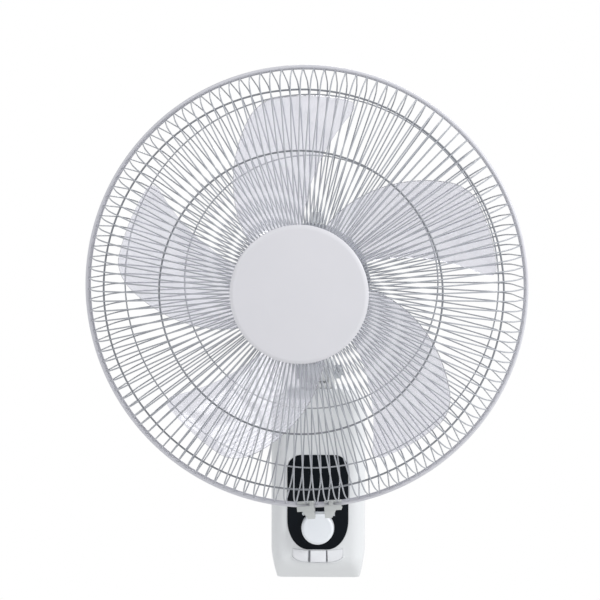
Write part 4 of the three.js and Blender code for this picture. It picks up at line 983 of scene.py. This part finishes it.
mount(frontCover(), headFrame, "head_body", whiteAbs, "white_plastic", "motor_front_cover")
mount(rearCover(), headFrame, "head_body", whiteAbs, "white_plastic", "motor_rear_cover")

nut = {"behind": 69.75, "bore": 22.9, "flange": 33, "flangeThick": 3, "foot": 29, "top": 28, "thick": 9,
       "ribs": 16, "ribHalf": 1.2, "ribOut": 31.2}


def guardNut():
    front = ahead(-nut["behind"])
    step, back = front - nut["flangeThick"], front - nut["thick"]
    profile = softened([(nut["bore"], front), (nut["flange"], front, 0.6), (nut["flange"], step, 0.8),
                        (nut["foot"], step, 0.6), (nut["top"], back, 0.8), (nut["bore"], back)], steps=4)
    half = nut["ribHalf"]
    rib = brick((-half, half), (back + 0.6, step + 0.5), (nut["top"], nut["ribOut"]), 0.5)
    return rawObject("guard_nut_ribbed", joined(turned(profile, 96), ribbed(rib, nut["ribs"], greyAbs)))


mount(guardNut(), headFrame, "head_body", greyAbs, "grey_plastic", "guard_nut")

cone = {"ahead": -7.7, "radius": 15, "depth": 13, "bore": 4.3, "boreEnd": 2}


def spinner():
    back, r, end = ahead(cone["ahead"]), cone["radius"], ahead(cone["boreEnd"])
    profile = [(cone["bore"], back), (r, back, 0.4), (r - 0.3, back - 6, 5), (r - 4.5, back - 11, 4),
               (0, back - cone["depth"]), (0, end), (cone["bore"], end)]
    return lathe("spinner_nut", profile, 64)


mount(spinner(), headFrame, "fan_body", greyAbs, "grey_plastic", "blade_nut")

pull = {"foot": 22.3, "under": 56.6, "radius": 8, "stem": 3.2, "tall": 12, "ribs": 20, "ribHalf": 0.45}


def clutchKnob():
    under, r, foot, half = pull["under"], pull["radius"], pull["foot"], pull["ribHalf"]
    profile = softened([(0, foot), (pull["stem"], foot), (pull["stem"], under, 0.3), (r - 0.8, under, 0.6),
                        (r - 0.2, under + 10.5, 1.6), (r - 2, under + pull["tall"], 1.2),
                        (0, under + 11.6)], steps=5)
    rib = brick((-half, half), (under + 1.5, under + 9.5), (r - 1.0, r - 0.05), 0.2)
    ribs = ribbed(rib, pull["ribs"], whiteAbs)
    return rawObject("clutch_pull", moved(joined(turned(profile, 64), ribs), upright))


mount(clutchKnob(), headFrame, "clutch_body", whiteAbs, "white_plastic", "clutch_knob")
print("motor made")

# neck and fork

neck = {"boss": 17, "bossFrom": 16, "top": 50, "tongue": 12, "tongueTop": 20, "width": 23.8, "play": 0.3,
        "cheek": 6.5, "fork": 15, "back": 36, "foot": 5.2, "lift": 0.3, "edge": 0.8, "forkEdge": 0.9}
bolt = {"shank": 4, "head": 7.5, "headThick": 4, "past": 9, "cross": (5, 0.7), "crossDeep": 1.2,
        "nut": 8.5, "nutThick": 6.7, "nutHole": 4.3}
forkInner = neck["width"] / 2 + neck["play"]
forkOuter = forkInner + neck["cheek"]


def sideSlab(outline, half, edge):
    # a (y, z) outline with width along X, both rims rounded
    swap = Matrix(((0, 1, 0, 0), (1, 0, 0, 0), (0, 0, 1, 0), (0, 0, 0, 1)))
    bm = moved(slab(outline, half, -half, edge=edge, backEdge=edge), swap)
    bmesh.ops.recalc_face_normals(bm, faces=bm.faces)
    return bm


def neckPiece():
    low, top, boss, r = neck["bossFrom"], neck["top"], neck["boss"], neck["tongue"]
    profile = softened([(0, low), (boss - 3, low, 3), (boss, low + 8, 8), (boss, top, 1.2), (0, top)],
                       steps=6)
    arc = [(-r * math.cos(a), -r * math.sin(a)) for a in (math.pi * k / 24 for k in range(25))]
    tongue = sideSlab(arc + [(r, neck["tongueTop"]), (-r, neck["tongueTop"])], neck["width"] / 2,
                      neck["edge"])
    return rawObject("neck_arm", joined(moved(turned(profile, 96), upright), tongue))


mount(neckPiece(), neckFrame, "neck_body", whiteAbs, "white_plastic", "neck")


def forkPiece():
    foot = housing["top"] + neck["lift"] - stance["pivot"][2]
    r, back, step = neck["fork"], neck["back"], foot + neck["foot"]
    arc = [(r * math.cos(a), r * math.sin(a)) for a in
           (math.radians(63 + (270 - 63) * k / 30) for k in range(31))]
    outline = [(back, foot), (back, step)] + arc + [(4, foot)]
    fork = rawObject("tilt_yoke", sideSlab(outline, forkOuter, neck["forkEdge"]))
    return carve(fork, brick((-forkInner, forkInner), (-40, 60), (step, 40), 0.3))


mount(forkPiece(), pivotFrame, "wall_body", whiteAbs, "white_plastic", "tilt_fork")


def boltPiece():
    under = -forkOuter - neck["play"]
    top, end = under - bolt["headThick"], forkOuter + bolt["past"]
    head, shank = bolt["head"], bolt["shank"]
    profile = [(0, top), (head - 1.3, top, 1.4), (head, top + 1.7, 1), (head, under, 0.3),
               (shank, under), (shank, end, 0.6), (0, end)]
    long, thin = bolt["cross"]
    deep = (top - 3.7, top + bolt["crossDeep"])
    piece = carve(lathe("tilt_screw", profile, 48, 4),
                  brick((-long, long), deep, (-thin, thin), 0.1),
                  brick((-thin, thin), deep, (-long, long), 0.1))
    piece.data.transform(sideways)
    return piece


def hexNut():
    under, size = forkOuter + neck["play"], bolt["nut"]
    flat = [(size * c, size * s) for c, s in around(6)]
    piece = rawObject("tilt_hex_nut", slab(flat, under + bolt["nutThick"], under, edge=0.6, backEdge=0.6))
    carve(piece, drill(bolt["nutHole"], under - 2.3, under + 8.7))
    piece.data.transform(sideways)
    return piece


mount(boltPiece(), pivotFrame, "wall_body", zincSteel, "zinc_steel", "tilt_bolt", sharp=35)
mount(hexNut(), pivotFrame, "wall_body", zincSteel, "zinc_steel", "tilt_nut", sharp=35)

# (radius, height below the housing's bottom, corner), from the inlet's mouth round to its bore
bushLine = [(3.6, -4), (7.2, -4, 0.8), (8, -0.4, 0.6), (6, -0.3, 0.2), (6, 5.4, 0.6), (3.6, 5.4, 0.4)]


def bushPiece():
    place = Matrix.Translation((0, -housing["split"] / 2, housing["bottom"]))
    return lathe("lead_bush", bushLine, 48, 3, place @ upright)


mount(bushPiece(), wallFrame, "wall_body", rubber, "black_rubber", "cord_bush", sharp=32)
print("neck, fork and bush made")

# stage

floorBm = bmesh.new()
bmesh.ops.create_circle(floorBm, cap_ends=True, radius=1.2, segments=96)
floor = rawObject("floor", floorBm, Matrix.Translation((0, -0.15, -0.5)))
plaster = finish({"name": "pale floor", "tones": ("#F2F2F1", "#EEEEED"), "drift": (60, 2, 0.5),
                  "bump": (0, 0), "rough": (0.85, 0.85)})
floor.data.materials.append(plaster)

world = bpy.data.worlds.new("studio")
world.use_nodes = True
bpy.context.scene.world = world
sky = world.node_tree
path = addNode(sky, "ShaderNodeLightPath").outputs
seen = path["Is Camera Ray"]
for kind in ("Is Glossy Ray", "Is Transmission Ray"):
    seen = addNode(sky, "ShaderNodeMath", {0: seen, 1: path[kind]}, operation="MAXIMUM")
dim = addNode(sky, "ShaderNodeBackground", {"Color": (0.97, 0.98, 1, 1), "Strength": 0.51})
white = addNode(sky, "ShaderNodeBackground", {"Color": (1, 1, 1, 1), "Strength": 1})
pick = addNode(sky, "ShaderNodeMixShader", {0: seen, 1: dim, 2: white})
sky.links.new(pick.outputs["Shader"], sky.nodes["World Output"].inputs["Surface"])


def softBox(name, at, size, power, toward=(0, -0.15, 0.15)):
    light = bpy.data.lights.new(name, "AREA")
    light.shape = "DISK"
    light.size = size
    light.energy = power
    lamp = bpy.data.objects.new(name, light)
    lamp.location = at
    lamp.rotation_euler = (Vector(toward) - Vector(at)).to_track_quat("-Z", "Y").to_euler()
    bpy.context.scene.collection.objects.link(lamp)


softBox("key", (2.2, -1.25, 1.2), 1.1, 42)
softBox("fill", (-1.6, -2.2, 1.0), 1.5, 16)
softBox("back", (0.4, 1.6, 1.6), 1.4, 14)

camera = bpy.data.cameras.new("photo")
camera.lens = 120
camera.sensor_width = 36
camera.clip_end = 20
eye = bpy.data.objects.new("photo", camera)
eye.location = (0.0565, -2.265, 0.1992)
eye.rotation_euler = (math.radians(90), 0, math.radians(2.0))
bpy.context.scene.collection.objects.link(eye)
bpy.context.scene.camera = eye
bpy.context.scene.view_settings.view_transform = "Standard"
